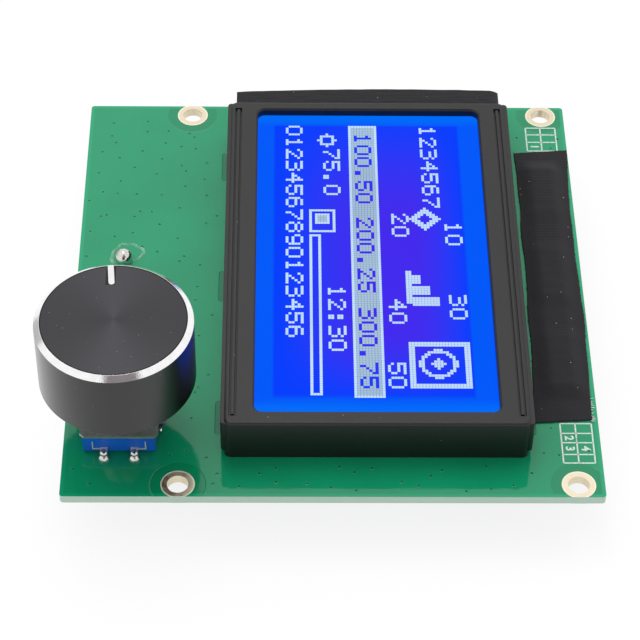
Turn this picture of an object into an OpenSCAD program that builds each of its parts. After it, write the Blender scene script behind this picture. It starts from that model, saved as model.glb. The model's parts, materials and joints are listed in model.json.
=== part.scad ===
// Dot-matrix display board with a push-and-turn control knob.
// Frame: the origin is the centre of the mounting-hole rectangle, on the display face of the board.
// X runs to the header side, Y to the backlight end and Z out of the display face. Millimetres.

/* [Board] */
// Mounting-hole spacing across the display
hole_pitch_x = 65; // [60:0.5:70]
// Mounting-hole spacing along the display
hole_pitch_y = 88; // [84:0.5:94]
// Bore of the mounting holes
hole_d = 3.5; // [2.7:0.1:4.2]
// Tinned pad round each mounting hole
pad_d = 5.6; // [5:0.1:7]
// Thickness of the tinned plating
plating_t = 0.06; // [0.03:0.01:0.1]
// Board beyond the holes on the header side
right_margin = 4.3; // [3:0.1:8]
// Board beyond the holes on the knob side
left_margin = 19; // [17:0.5:30]
// Board beyond the holes at both ends
end_margin = 2.5; // [2:0.1:6]
// Board thickness
board_t = 1.6; // [1:0.1:2.4]
// Radius of the board's corners
board_corner_r = 0.6; // [0.2:0.1:2]

/* [Bezel] */
// Display centre across the board, from the hole centre
lcd_x = -0.2; // [-1:0.1:1]
// Display centre along the board, from the hole centre
lcd_y = 0.1; // [-1:0.1:1]
// Width of the bezel's front face
bezel_w = 49.7; // [47:0.1:52]
// Length of the bezel's front face
bezel_l = 76.8; // [74:0.1:79]
// Height of the bezel's front face above the board
bezel_h = 8.5; // [8:0.1:11]
// Thickness of the bezel's side walls
bezel_wall = 1.4; // [1:0.1:2]
// Thickness of the bezel's front wall
front_t = 1.55; // [1:0.05:1.9]
// Radius of the bezel's upright corners
bezel_corner_r = 1; // [0.5:0.1:2]
// Rounding of the front face's outer edge
front_edge_r = 0.4; // [0.2:0.05:0.6]
// Front wall beside the window
side_border = 4.85; // [4:0.05:7]
// Front wall beyond the window's ends
end_border = 2.4; // [2:0.05:5]
// Window's middle from the bezel's, to the lamp end
window_shift = 0.4; // [0:0.05:0.5]
// Radius of the window's corners
window_r = 1.3; // [0.5:0.1:3]
// Bevel round the window's edge
window_bevel = 0.3; // [0.1:0.05:0.6]
// How far the side rails stand out of the walls
rail_out = 0.6; // [0.4:0.05:1.2]
// Top of the side rails below the front face
rail_drop = 0.25; // [0.2:0.05:4]
// Distance from the bezel's ends to the rails
rail_setback = 0.3; // [0.2:0.1:4]
// Foot of the side rails above the board
rail_lift = 1.4; // [0.6:0.1:3]
// Width of the ring groove beside the window
groove_w = 0.34; // [0.2:0.02:0.5]
// Depth of the groove
groove_depth = 0.5; // [0.1:0.05:0.6]
// From the front face's edge to the groove's outer run
groove_inset = 0.92; // [0.7:0.02:1.2]
// Spacing of a groove's two long runs
groove_pitch = 0.84; // [0.6:0.02:1.2]
// From the bezel's ends to the ends of the groove
groove_end = 1.7; // [1.2:0.1:5]

/* [Snap legs] */
// Spacing of the legs along each side
leg_pitch = 30; // [20:1:32]
// Width of a leg
leg_w = 6.6; // [4:0.1:8]
// Thickness of a leg
leg_t = 1; // [0.8:0.05:1.4]
// Reach of the hook under the board
hook_reach = 0.45; // [0.2:0.05:0.6]
// Height of the hook
hook_h = 1.1; // [0.8:0.1:1.5]
// Room round a leg in its slot, at its ends and outer face
leg_gap = 0.2; // [0.1:0.05:0.6]
// Room for a leg to spring inwards, under the bezel's wall
slot_spring = 0.7; // [0.6:0.05:0.9]

/* [Display stack] */
// Thickness of each glass
glass_t = 1.1; // [0.7:0.1:1.2]
// Thickness of each polarising film
polariser_t = 0.25; // [0.15:0.05:0.3]
// Thickness of the diffuser film
diffuser_t = 0.3; // [0.1:0.05:0.5]
// Thickness of the reflector film
reflector_t = 0.15; // [0.05:0.05:0.3]
// Room between the glass and the bezel's walls
glass_gap = 0.25; // [0.1:0.05:0.5]
// Width of a contact strip
zebra_w = 1.7; // [1.2:0.1:2.2]
// Floor and wall of the backlight tray
tray_t = 0.8; // [0.5:0.1:1]
// Length of the lamp housing beyond the bezel
lamp_l = 5.6; // [4.6:0.1:6]
// Height of the lamp housing
lamp_h = 5.5; // [5.2:0.05:7.5]
// Lamp housing short of the bezel's width, at each side
lamp_inset = 1.05; // [0:0.05:3]
// Thickness of the lamp housing's end wall
lamp_wall = 1; // [0.6:0.1:1.4]
// Thickness of the lamp strip, and of the lamps on it
lamp_strip_t = 0.8; // [0.6:0.1:1]
// Number of lamps
lamp_count = 8; // [4:1:10]
// Spacing of the backlight's two leads
lead_pitch = 32; // [20:1:36]
// Diameter of the backlight's leads and the buzzer's pins
lead_d = 0.6; // [0.4:0.05:0.8]

/* [Cloth tape] */
// Thickness of the tape
tape_t = 0.25; // [0.15:0.05:0.4]
// From the bezel's rail to the header tape
tape_gap = 1.4; // [1.2:0.1:2]
// From the header tape to the board's edge
tape_edge = 0.5; // [0.2:0.1:1.5]
// Header tape beyond the headers at the near end
tape_near = 2.7; // [0.5:0.1:6]
// Header tape beyond the headers at the far end
tape_far = 0.7; // [0.2:0.1:4]
// Height of the tape over the soldered pins
tent_h = 1.2; // [1.15:0.05:2.2]
// Backlight tape beyond the lamp housing at each side
tape_side = 0.2; // [0.1:0.1:1]
// Foot of the backlight tape on the board
tape_foot = 1.8; // [0.8:0.1:2.2]

/* [Box headers] */
// Pin spacing
pin_pitch = 2.54; // [2:0.02:2.54]
// Pins along a header
pin_rows = 5; // [3:1:5]
// Middle of the row of headers, from the hole centre
header_mid_y = 2.8; // [-2:0.1:6]
// Length of a header
header_l = 20.3; // [18:0.1:21]
// Width of a header
header_w = 8.9; // [7.8:0.1:9.4]
// Depth of a header behind the board
header_h = 9.1; // [8:0.1:10]
// Gap between headers
header_gap = 0.3; // [0.1:0.1:2]
// Wall of a header
header_wall = 1.2; // [0.8:0.1:1.4]
// Floor of a header
header_floor = 2.4; // [1.5:0.1:3]
// Width of the keying notch
notch_w = 4.5; // [3.5:0.1:5]
// Side of a square pin
pin_w = 0.64; // [0.5:0.02:0.7]
// Pin standing out of the board's front
pin_tail = 0.75; // [0.6:0.05:0.85]

/* [Encoder] */
// Knob axis from the board's left edge
enc_edge = 9.3; // [8:0.1:12]
// Knob axis from the board's near edge
enc_near = 15; // [14.5:0.1:20]
// Width of the moulded base
enc_w = 11.8; // [11.4:0.1:12.6]
// Length of the moulded base
enc_l = 11.8; // [11.4:0.1:12.6]
// Height of the moulded base
enc_h = 3.6; // [3.5:0.1:5]
// Sheet of the metal cover
cover_t = 0.5; // [0.3:0.05:0.8]
// Cut corners of the metal cover
cover_cut = 0.7; // [0.5:0.1:1.5]
// Outer diameter of the bush
bush_d = 7; // [6.8:0.1:8]
// Bush above the cover
bush_l = 7.4; // [5:0.1:7.6]
// Shaft diameter
shaft_d = 6; // [5.6:0.1:6.2]
// Shaft above the cover
shaft_l = 17.4; // [15:0.1:18]
// Thickness left by the flat on the shaft
shaft_flat = 4.5; // [4:0.1:5]
// Length of the flat on the shaft
flat_l = 8.5; // [6:0.1:9]
// Running clearance of the shaft, all round
shaft_fit = 0.05; // [0.02:0.01:0.09]
// Travel of the push switch
push_travel = 0.5; // [0.2:0.05:0.55]
// From the axis to the switch terminals
switch_reach = 7; // [6.7:0.1:7.5]
// Spacing of the switch terminals
switch_pitch = 5; // [4:0.1:6]
// From the axis to the signal terminals
signal_reach = 7.5; // [6.7:0.1:8]
// Spacing of the signal terminals
signal_pitch = 2.5; // [2:0.1:3]
// Number of clicks in a turn
detents = 20; // [12:4:24]

/* [Knob] */
// Diameter at the top of the knob's side
knob_d = 25.3; // [22:0.1:28]
// Diameter at the knob's foot
knob_foot_d = 25.4; // [24:0.1:28.5]
// Height of the knob
knob_h = 13.4; // [12.4:0.1:15]
// Room between the bush and the knob's foot
knob_gap = 0.9; // [0.7:0.1:3]
// Width of the bright cut edge, seen from above
cut_w = 0.88; // [0.3:0.02:1.2]
// Height of the bright cut edge
cut_h = 0.75; // [0.5:0.05:2]
// Wall of the knob's skirt
knob_wall = 2.7; // [1.5:0.1:3.5]
// Thickness of the knob's top
knob_top_t = 2; // [1.2:0.1:2.2]
// Width of the pointer
pointer_w = 0.95; // [0.5:0.05:2]
// Length of the pointer
pointer_l = 4.2; // [2:0.1:8]
// Turn of the pointer from the far side
pointer_turn = 5; // [0:1:45]

/* [Back of the board] */
// Diameter of the buzzer
buzzer_d = 12; // [9:0.5:14]
// Height of the buzzer
buzzer_h = 9.1; // [8:0.1:9.6]
// Spacing of the buzzer's pins
buzzer_pitch = 6.5; // [5:0.1:7.6]
// Buzzer's axis from the board's left edge
buzzer_edge = 7.9; // [7.2:0.1:12]
// Buzzer's axis along the board, from the hole centre
buzzer_y = 3.05; // [-6:0.1:10]
// Diameter of the epoxy caps over the bare chips
blob_d = 15; // [10:0.5:18]
// Height of the epoxy caps
blob_h = 1.5; // [1:0.1:2]
// Spacing of the epoxy caps
blob_pitch = 22; // [19:0.5:24]
// Length of a chip resistor or capacitor
chip_l = 2; // [1.6:0.1:3.2]

/* [Hidden] */
$fn = 48;
// Sides of a circle that makes a shallow cap or dome
shallow_fn = 720;
// How far a cut runs past the faces that it opens
past = 0.5;
// Thickness of the flat ends of a hull
sliver = 0.01;
// Clearance of pieces that are pressed or soldered together, and of pieces that are laid in
close_fit = 0.02;
easy_fit = 0.05;

// Board outline, from the holes outwards
board_left = -hole_pitch_x / 2 - left_margin;
board_right = hole_pitch_x / 2 + right_margin;
board_w = board_right - board_left;
board_l = hole_pitch_y + 2 * end_margin;
board_mid_x = (board_left + board_right) / 2;
pin_hole_d = 1;
terminal_hole_d = 1.4;

// Bezel and display stack, from the front wall downwards
window_w = bezel_w - 2 * side_border;
window_l = bezel_l - 2 * end_border;
cavity_w = bezel_w - 2 * bezel_wall;
cavity_l = bezel_l - 2 * bezel_wall;
rail_x = bezel_w / 2 + rail_out;
rail_h = bezel_h - rail_drop;
far_wall_y = bezel_l / 2;
stack_top = bezel_h - front_t;
front_glass_z = stack_top - polariser_t - glass_t;
rear_glass_z = front_glass_z - glass_t;
rear_polariser_z = rear_glass_z - polariser_t;
diffuser_z = rear_polariser_z - diffuser_t;
glass_w = cavity_w - 2 * glass_gap;
glass_l = cavity_l - 2 * glass_gap;
film_under_lip = 0.6;
film_corner_r = 0.3;
zebra_x = cavity_w / 2 - glass_gap - zebra_w / 2;
zebra_end = 2;
tray_w = 2 * (zebra_x - zebra_w / 2 - glass_gap);
rear_glass_w = tray_w - 2 * glass_gap;
guide_w = tray_w - 2 * tray_t - 2 * easy_fit;
tray_near = -glass_l / 2;
guide_near = tray_near + tray_t + easy_fit;
lamp_w = bezel_w - 2 * lamp_inset;
lamp_far = far_wall_y + lamp_l;
pocket_far = lamp_far - lamp_wall;
lamp_face = pocket_far - 2 * lamp_strip_t;
guide_far = lamp_face - easy_fit;
lead_y = pocket_far - lamp_strip_t / 2;
lead_tail = 1.4;
lamp_chip_l = 3;
lamp_chip_h = 1.4;

// Snap legs and their slots, as places across the board
slot_outer = rail_x - easy_fit;
leg_outer = slot_outer - leg_gap;
leg_inner = leg_outer - leg_t;
slot_inner = leg_inner - slot_spring;
hook_lip = 0.4;
leg_root = rail_lift + 0.5;

// Headers and their tape
header_count = 3;
tape_left = lcd_x + rail_x + tape_gap;
tape_right = board_right - tape_edge;
tape_w = tape_right - tape_left;
header_x = (tape_left + tape_right) / 2;
header_step = header_l + header_gap;
header_span = header_count * header_step - header_gap;
tape_y0 = header_mid_y - header_span / 2 - tape_near;
tape_y1 = header_mid_y + header_span / 2 + tape_far;
pin_short = 1;
pins_l = (pin_rows - 1) * pin_pitch;
tent_hem = 0.6;
tent_run = 3.2;
tent_shoulder = 2.1;
tent_crest = 1.3;

// Solder on pins, terminals and the buzzer
solder_r = 0.9;
solder_h = 0.55;
solder_top = 0.5;
terminal_solder_r = 1.05;
terminal_solder_h = 0.4;
back_solder_h = 0.8;
solder_ball_r = 1.45;
solder_ball_z = 0.55;

// Encoder levels above the board
enc_x = board_left + enc_edge;
enc_y = -board_l / 2 + enc_near;
pocket_floor = 0.4;
well_floor = 1.1;
base_wall = 1;
base_ease = 0.5;
well_d = enc_w - 2 * base_wall;
pocket_d = 5.4;
track_t = 0.15;
track_rim = 0.15;
track_gap_l = 0.9;
track_gap_w = 0.5;
track_r = (well_d + pocket_d) / 4;
wiper_t = 0.1;
wiper_rise = 0.15;
wiper_rim = 0.2;
finger_d = 0.5;
rotor_z = well_floor + track_t + wiper_t + wiper_rise;
flange_t = 0.6;
flange_z = enc_h - flange_t;
spring_t = 0.2;
spring_w = 1.2;
spring_rise = 0.12;
rotor_top = flange_z - spring_t - spring_rise;
rotor_gap = 0.2;
rotor_d = well_d - 2 * rotor_gap;
click_l = 1.4;
click_w = 0.6;
click_depth = 0.15;
cover_z = enc_h;
cover_top = cover_z + cover_t;
tail_d = 3.6;
tail_flat = 1.35;
dome_h = 0.5;
dome_r = 2.1;
dome_t = 0.08;
tail_z = pocket_floor + dome_h + easy_fit;
shoulder_z = rotor_top + push_travel + 2 * easy_fit;
bush_chamfer = 0.3;
shaft_tip = cover_top + shaft_l;
clip_t = 0.25;
clip_z = rotor_z - easy_fit - clip_t;
clip_groove_d = 2.8;
clip_gap = 0.15;
clip_d = pocket_d - 2 * clip_gap;
clip_mouth = 1.8;
terminal_t = 0.4;
terminal_w = 1.2;
terminal_tip_w = 0.8;
terminal_z = 1;
terminal_seat = 0.6;
terminal_neck_z = 0.4;
terminal_tail = 1.2;
wing_l = 1.3;
wing_h = 1.8;
wing_w = 0.18;
wing_t = 0.12;
cover_leg_w = 4.4;
lug_w = 2;
lug_bow = 1.1;
lug_bow_z = 1.1;
lug_top_z = 2.2;
lug_tail = 1;
lug_room = 0.3;

// Knob levels above the board
knob_z = cover_top + bush_l + knob_gap;
knob_top = knob_z + knob_h;
face_r = knob_d / 2 - cut_w;
skirt_r = knob_d / 2 - knob_wall;
insert_lift = 0.5;
insert_z = knob_z + insert_lift;
insert_top = knob_top - knob_top_t;
hub_wall = 2;
hub_r = shaft_d / 2 + hub_wall;
insert_ring_t = 1.2;
insert_web_t = 1;
spokes = 6;
spoke_t = 1.2;
spoke_rise = 1;
knob_foot_edge = 0.35;
pointer_depth = 0.4;

// Back of the board
back_z = -board_t;
buzzer_x = board_left + buzzer_edge;
buzzer_edge_cut = 0.5;
sound_hole_r = 1.3;
sound_hole_depth = 2;
chip_w = 0.625 * chip_l;
chip_h = 0.6;
chip_cap = 0.35;
chip_step = 5;
chip_rows = 6;
chip_column = 13;

function header_y(i) = header_mid_y + (i - (header_count + 1) / 2) * header_step;
function pin_places(i) = [
    for (side = [-0.5, 0.5], row = [0 : pin_rows - 1])
        [header_x + side * pin_pitch, header_y(i) + (row - (pin_rows - 1) / 2) * pin_pitch]
];
function all_pin_places() = [for (i = [1 : header_count]) each pin_places(i)];
function switch_places() = [for (side = [-0.5, 0.5]) [side * switch_pitch, -switch_reach]];
function signal_places() = [for (step = [-1, 0, 1]) [step * signal_pitch, signal_reach]];
function chip_places(x) = [for (row = [0 : chip_rows - 1]) [x, (row - (chip_rows - 1) / 2) * chip_step]];
function chip_columns() = [lcd_x - chip_column, lcd_x + chip_column];

// Flat rectangle with round corners, about the origin
module round_rect(w, l, r) {
    square([w - 2 * r, l], center = true);
    square([w, l - 2 * r], center = true);
    for (x = [-1, 1], y = [-1, 1])
        translate([x * (w / 2 - r), y * (l / 2 - r)]) circle(r);
}

// Upright block about the Z axis, between two heights
module block(w, l, z0, z1) {
    translate([-w / 2, -l / 2, z0]) cube([w, l, z1 - z0]);
}

// Block between two corners
module span(low, high) {
    translate(low) cube(high - low);
}

module at_holes() {
    for (x = [-0.5, 0.5], y = [-0.5, 0.5])
        translate([x * hole_pitch_x, y * hole_pitch_y, 0]) children();
}

module at_lcd() {
    translate([lcd_x, lcd_y, 0]) children();
}

module at_encoder() {
    translate([enc_x, enc_y, 0]) children();
}

module at_buzzer() {
    translate([buzzer_x, buzzer_y, 0]) children();
}

// Both long sides of the display, three legs on each
module at_legs() {
    for (side = [0, 1], step = [-1, 0, 1])
        mirror([side, 0, 0]) translate([0, step * leg_pitch, 0]) children();
}

module board_outline() {
    translate([board_mid_x, 0]) round_rect(board_w, board_l, board_corner_r);
}

module lug_slots() {
    for (side = [-1, 1])
        translate([side * (enc_w + cover_t) / 2, 0])
            square([cover_t + 2 * lug_room, lug_w + 2 * lug_room], center = true);
}

module circuit_board() {
    color("#1a7a50")
    translate([0, 0, back_z])
    linear_extrude(board_t)
    difference() {
        board_outline();
        at_holes() circle(d = hole_d + 2 * plating_t);
        for (p = all_pin_places()) translate(p) circle(d = pin_hole_d);
        at_lcd() {
            at_legs() translate([slot_inner, -leg_w / 2 - leg_gap])
                square([slot_outer - slot_inner, leg_w + 2 * leg_gap]);
            for (side = [-0.5, 0.5]) translate([side * lead_pitch, lead_y]) circle(d = pin_hole_d);
        }
        at_encoder() {
            for (p = concat(switch_places(), signal_places())) translate(p) circle(d = terminal_hole_d);
            lug_slots();
        }
        at_buzzer() for (side = [-0.5, 0.5]) translate([0, side * buzzer_pitch]) circle(d = pin_hole_d);
    }
}

// Barrel through the board with a pad on each face, trimmed by the board's edge
module hole_plating() {
    color("#c9bda4")
    intersection() {
        translate([0, 0, back_z - plating_t]) linear_extrude(board_t + 2 * plating_t) board_outline();
        at_holes() rotate_extrude() {
            translate([hole_d / 2, back_z]) square([plating_t, board_t]);
            for (z = [back_z - plating_t, 0])
                translate([hole_d / 2, z]) square([(pad_d - hole_d) / 2, plating_t]);
        }
    }
}

// Cone of solder round a pin, growing up from the face
module solder_cone(r, h) {
    cylinder(h = h, r1 = r, r2 = solder_top);
}

// The same joint under the board
module solder_below(r) {
    translate([0, 0, back_z]) mirror([0, 0, 1]) solder_cone(r, back_solder_h);
}

// Solder with a square or flat lead cut out of it
module solder_round(places, lead_x, lead_y) {
    difference() {
        children();
        for (p = places) translate(p)
            block(lead_x + close_fit, lead_y + close_fit, back_z - 2 * back_solder_h, 2 * solder_h);
    }
}

module pin_solder() {
    solder_round(all_pin_places(), pin_w, pin_w)
        for (p = all_pin_places()) translate(p) solder_cone(solder_r, solder_h);
}

// Ball of solder over the end of each buzzer pin
module buzzer_solder() {
    for (side = [-0.5, 0.5]) translate([0, side * buzzer_pitch, 0]) intersection() {
        translate([0, 0, solder_ball_z]) sphere(solder_ball_r);
        block(3 * solder_ball_r, 3 * solder_ball_r, 0, 3 * solder_ball_r);
    }
}

module terminal_solder() {
    places = concat(switch_places(), signal_places());
    solder_round(places, terminal_tip_w, terminal_t) {
        for (p = switch_places()) translate(p) solder_cone(terminal_solder_r, terminal_solder_h);
        for (p = places) translate(p) solder_below(terminal_solder_r);
    }
}

module lead_solder() {
    for (side = [-0.5, 0.5]) translate([side * lead_pitch, lead_y, 0]) difference() {
        solder_below(solder_r);
        translate([0, 0, back_z - lead_tail]) cylinder(h = lead_tail + past, d = lead_d + close_fit);
    }
}

module solder_joints() {
    color("#b9bcc0") {
        pin_solder();
        at_buzzer() buzzer_solder();
        at_encoder() terminal_solder();
        at_lcd() lead_solder();
    }
}

// Bezel body with its front edge rounded in three steps
module bezel_body() {
    hull() {
        linear_extrude(bezel_h - front_edge_r) round_rect(bezel_w, bezel_l, bezel_corner_r, $fn = 32);
        for (turn = [30, 60, 90]) {
            inset = front_edge_r * (1 - cos(turn));
            lift = front_edge_r * (1 - sin(turn));
            linear_extrude(bezel_h - lift)
                round_rect(bezel_w - 2 * inset, bezel_l - 2 * inset, bezel_corner_r, $fn = 32);
        }
    }
}

// Leg down through its slot, with a hook that grips the slot's outer edge
module snap_leg() {
    under = back_z - easy_fit;
    translate([0, leg_w / 2, 0]) rotate([90, 0, 0]) linear_extrude(leg_w) polygon([
        [leg_inner, leg_root], [leg_inner, under - hook_h], [leg_outer, under - hook_h],
        [slot_outer + hook_reach, under - hook_lip], [slot_outer + hook_reach, under],
        [leg_outer, under], [leg_outer, leg_root]
    ]);
}

module window_bevel_cut() {
    wide = window_w + 2 * window_bevel;
    long = window_l + 2 * window_bevel;
    hull() {
        translate([0, 0, bezel_h - window_bevel]) linear_extrude(sliver)
            round_rect(window_w, window_l, window_r, $fn = 32);
        translate([0, 0, bezel_h]) linear_extrude(sliver)
            round_rect(wide, long, window_r + window_bevel, $fn = 32);
    }
}

// Long narrow groove that closes on itself, in the front face
module ring_groove() {
    groove_l = bezel_l - 2 * groove_end;
    translate([0, 0, bezel_h - groove_depth]) linear_extrude(groove_depth + past) difference() {
        square([groove_pitch + groove_w, groove_l], center = true);
        square([groove_pitch - groove_w, groove_l - 2 * groove_w], center = true);
    }
}

module bezel_frame() {
    rail_l = bezel_l - 2 * rail_setback;
    groove_x = bezel_w / 2 - groove_inset - groove_pitch / 2;
    color("#2a2a2d")
    at_lcd() {
        difference() {
            union() {
                bezel_body();
                translate([0, 0, rail_lift]) linear_extrude(rail_h - rail_lift)
                    round_rect(2 * rail_x, rail_l, rail_out, $fn = 32);
            }
            block(cavity_w, cavity_l, -past, stack_top);
            translate([0, window_shift, 0]) {
                translate([0, 0, stack_top - past]) linear_extrude(front_t + 2 * past)
                    round_rect(window_w, window_l, window_r);
                window_bevel_cut();
            }
            for (side = [-1, 1]) translate([side * groove_x, 0, 0]) ring_groove();
            span([-tray_w / 2 - easy_fit, cavity_l / 2 - past, -past],
                 [tray_w / 2 + easy_fit, far_wall_y + past, diffuser_z + easy_fit]);
        }
        at_legs() snap_leg();
    }
}

module film(w, l, z, t) {
    translate([0, 0, z]) linear_extrude(t) round_rect(w, l, film_corner_r);
}

module front_polariser() {
    color("#1a36d8") at_lcd() film(window_w + 2 * film_under_lip, window_l + 2 * film_under_lip,
                                   stack_top - polariser_t, polariser_t);
}

module front_glass() {
    color("#a8c4cc", 0.6) at_lcd() film(glass_w, glass_l, front_glass_z, glass_t);
}

module rear_glass() {
    color("#a8c4cc", 0.6) at_lcd() film(rear_glass_w, glass_l, rear_glass_z, glass_t);
}

module rear_polariser() {
    color("#39404a") at_lcd() film(rear_glass_w, window_l, rear_polariser_z, polariser_t);
}

module diffuser_film() {
    color("#eef2f4") at_lcd() film(rear_glass_w, window_l, diffuser_z, diffuser_t);
}

module light_guide() {
    color("#d8ecf4", 0.7) at_lcd()
        span([-guide_w / 2, guide_near, tray_t + reflector_t], [guide_w / 2, guide_far, diffuser_z]);
}

module reflector_film() {
    color("#f4f4f0") at_lcd()
        span([-guide_w / 2, guide_near, tray_t], [guide_w / 2, guide_far, tray_t + reflector_t]);
}

// Open tray under the display that runs on into the lamp housing beyond the bezel
module backlight_tray() {
    inside = tray_w / 2 - tray_t;
    color("#f2f1ec")
    at_lcd() difference() {
        union() {
            span([-tray_w / 2, tray_near, 0], [tray_w / 2, lamp_far - lamp_wall / 2, diffuser_z]);
            span([-lamp_w / 2, far_wall_y, 0], [lamp_w / 2, lamp_far, lamp_h]);
        }
        span([-inside, tray_near + tray_t, tray_t], [inside, far_wall_y - past / 2, diffuser_z + past]);
        span([-inside, far_wall_y - past, tray_t], [inside, pocket_far, diffuser_z + easy_fit]);
        for (side = [-0.5, 0.5]) translate([side * lead_pitch, lead_y, -past])
            cylinder(h = tray_t + 2 * past, d = lead_d + 2 * easy_fit);
    }
}

module lamp_strip() {
    color("#e6e2c8") at_lcd() span([-guide_w / 2, pocket_far - lamp_strip_t, tray_t],
                                   [guide_w / 2, pocket_far, diffuser_z - easy_fit]);
}

module backlight_lamps() {
    step = guide_w / lamp_count;
    lamp_z = (tray_t + diffuser_z) / 2;
    color("#fdf3b0") at_lcd() for (i = [0 : lamp_count - 1])
        translate([(i - (lamp_count - 1) / 2) * step, lamp_face + lamp_strip_t / 2, 0])
            block(lamp_chip_l, lamp_strip_t, lamp_z - lamp_chip_h / 2, lamp_z + lamp_chip_h / 2);
}

module backlight_leads() {
    color("#c4c4c4") at_lcd() for (side = [-0.5, 0.5])
        translate([side * lead_pitch, lead_y, back_z - lead_tail])
            cylinder(h = lead_tail + board_t + tray_t, d = lead_d);
}

module zebra_strips() {
    color("#8d9096") at_lcd() for (side = [-1, 1])
        translate([side * zebra_x, 0, 0]) block(zebra_w, cavity_l - 2 * zebra_end, 0, front_glass_z);
}

// Tape from the bezel's far wall over the lamp housing and down to the board
module backlight_tape() {
    color("#232325")
    at_lcd() translate([-lamp_w / 2 - tape_side, 0, 0]) rotate([90, 0, 90])
    linear_extrude(lamp_w + 2 * tape_side) {
        translate([far_wall_y, lamp_h]) square([lamp_l, tape_t]);
        intersection() {
            translate([lamp_far, lamp_h]) circle(tape_t);
            translate([lamp_far, lamp_h]) square(2 * tape_t);
        }
        translate([lamp_far, 0]) square([tape_t, lamp_h]);
        translate([lamp_far, 0]) square([tape_foot, tape_t]);
    }
}

// Tape pushed up over one header's soldered pins, or the hollow below it
module tape_tent(y, shrink, h) {
    translate([header_x, y, 0]) hull() {
        translate([0, 0, -shrink])
            block(tape_w - 2 * (tent_hem + shrink), pins_l + 2 * (tent_run - shrink), 0, sliver);
        tent_step(tent_shoulder - shrink, 0.7 * h);
        tent_step(tent_crest - shrink, h);
    }
}

// Block that reaches past the pins all round
module tent_step(reach, h) {
    block(pin_pitch + 2 * reach, pins_l + 2 * reach, 0, h);
}

module header_tape() {
    color("#232325")
    difference() {
        union() {
            span([tape_left, tape_y0, 0], [tape_right, tape_y1, tape_t]);
            for (i = [1 : header_count]) intersection() {
                tape_tent(header_y(i), 0, tent_h);
                span([tape_left, tape_y0, 0], [tape_right, tape_y1, 2 * tent_h]);
            }
        }
        for (i = [1 : header_count]) tape_tent(header_y(i), tape_t, tent_h - tape_t);
    }
}

// Open box that stands on the back of the board, keyed by a notch in the wall towards the display
module box_header(i) {
    mouth = back_z - header_h;
    cavity_z = back_z - header_floor;
    color("#1d1d1f")
    difference() {
        translate([header_x, header_y(i), 0]) difference() {
            block(header_w, header_l, mouth, back_z);
            block(header_w - 2 * header_wall, header_l - 2 * header_wall, mouth - past, cavity_z);
            span([-header_w / 2 - past, -notch_w / 2, mouth - past], [0, notch_w / 2, cavity_z]);
        }
        for (p = pin_places(i)) translate(p)
            block(pin_w + close_fit, pin_w + close_fit, mouth, back_z + past);
    }
}

module header_pins() {
    color("#c8a850")
    for (p = all_pin_places()) translate(p) block(pin_w, pin_w, back_z - header_h + pin_short, pin_tail);
}

module encoder_base() {
    color("#1450b4")
    at_encoder() difference() {
        block(enc_w, enc_l, 0, enc_h);
        for (side = [-1, 1]) translate([0, side * enc_l / 2, 0]) rotate([45, 0, 0])
            cube([enc_w + 2 * past, base_ease * sqrt(2), base_ease * sqrt(2)], center = true);
        translate([0, 0, well_floor]) cylinder(h = enc_h, d = well_d);
        translate([0, 0, pocket_floor]) cylinder(h = enc_h, d = pocket_d);
        for (p = concat(switch_places(), signal_places())) translate([p.x, sign(p.y) * enc_l / 2, 0])
            block(terminal_w + close_fit, 2 * terminal_seat,
                  terminal_z - close_fit, terminal_z + terminal_t + close_fit);
    }
}

// Spring lug that bows outwards below the cover's leg and goes through the board
module cover_lug() {
    inner = enc_w / 2 + easy_fit;
    outer = enc_w / 2 + cover_t;
    low = back_z - lug_tail;
    translate([0, lug_w / 2, 0]) rotate([90, 0, 0]) linear_extrude(lug_w) polygon([
        [inner, lug_top_z], [outer, lug_top_z], [outer + lug_bow, lug_bow_z], [outer, 0],
        [outer, low], [inner, low], [inner, 0], [inner + lug_bow, lug_bow_z]
    ]);
}

// Plate with its four corners cut off, and a folded leg with a lug at each side
module encoder_cover() {
    plate_w = enc_w + 2 * cover_t;
    across_cuts = ((plate_w + enc_l) / 2 - cover_cut) * sqrt(2);
    color("#8f9a96")
    at_encoder() {
        translate([0, 0, cover_z]) linear_extrude(cover_t) difference() {
            intersection() {
                square([plate_w, enc_l], center = true);
                rotate(45) square(across_cuts, center = true);
            }
            circle(d = bush_d + 2 * easy_fit);
        }
        for (side = [0, 1]) mirror([side, 0, 0]) {
            span([enc_w / 2 + easy_fit, -cover_leg_w / 2, lug_top_z],
                 [plate_w / 2, cover_leg_w / 2, cover_z]);
            cover_lug();
        }
    }
}

// Flange trapped under the cover, and a neck that guides the shaft
module encoder_bush() {
    bore_r = shaft_d / 2 + shaft_fit;
    neck_top = cover_top + bush_l;
    color("#b4b6b8")
    at_encoder() rotate_extrude() polygon([
        [bore_r, flange_z], [well_d / 2 - easy_fit, flange_z], [well_d / 2 - easy_fit, cover_z],
        [bush_d / 2, cover_z], [bush_d / 2, neck_top - bush_chamfer],
        [bush_d / 2 - bush_chamfer, neck_top], [bore_r, neck_top]
    ]);
}

// Terminal that leaves the base, bends and goes down through the board
module terminal(reach) {
    block(terminal_tip_w, terminal_t, back_z - terminal_tail, terminal_z);
    block(terminal_w, terminal_t, terminal_neck_z, terminal_z + terminal_t);
    span([-terminal_w / 2, 0, terminal_z], [terminal_w / 2, reach, terminal_z + terminal_t]);
}

// Bent strip beside a switch terminal, out along the base's near face and then up it
module terminal_wing() {
    out = terminal_w / 2 + wing_l;
    translate([0, -enc_l / 2 - wing_t, terminal_z]) {
        cube([out, wing_t, wing_w]);
        translate([out - wing_w, 0, 0]) cube([wing_w, wing_t, wing_h]);
    }
}

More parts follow.
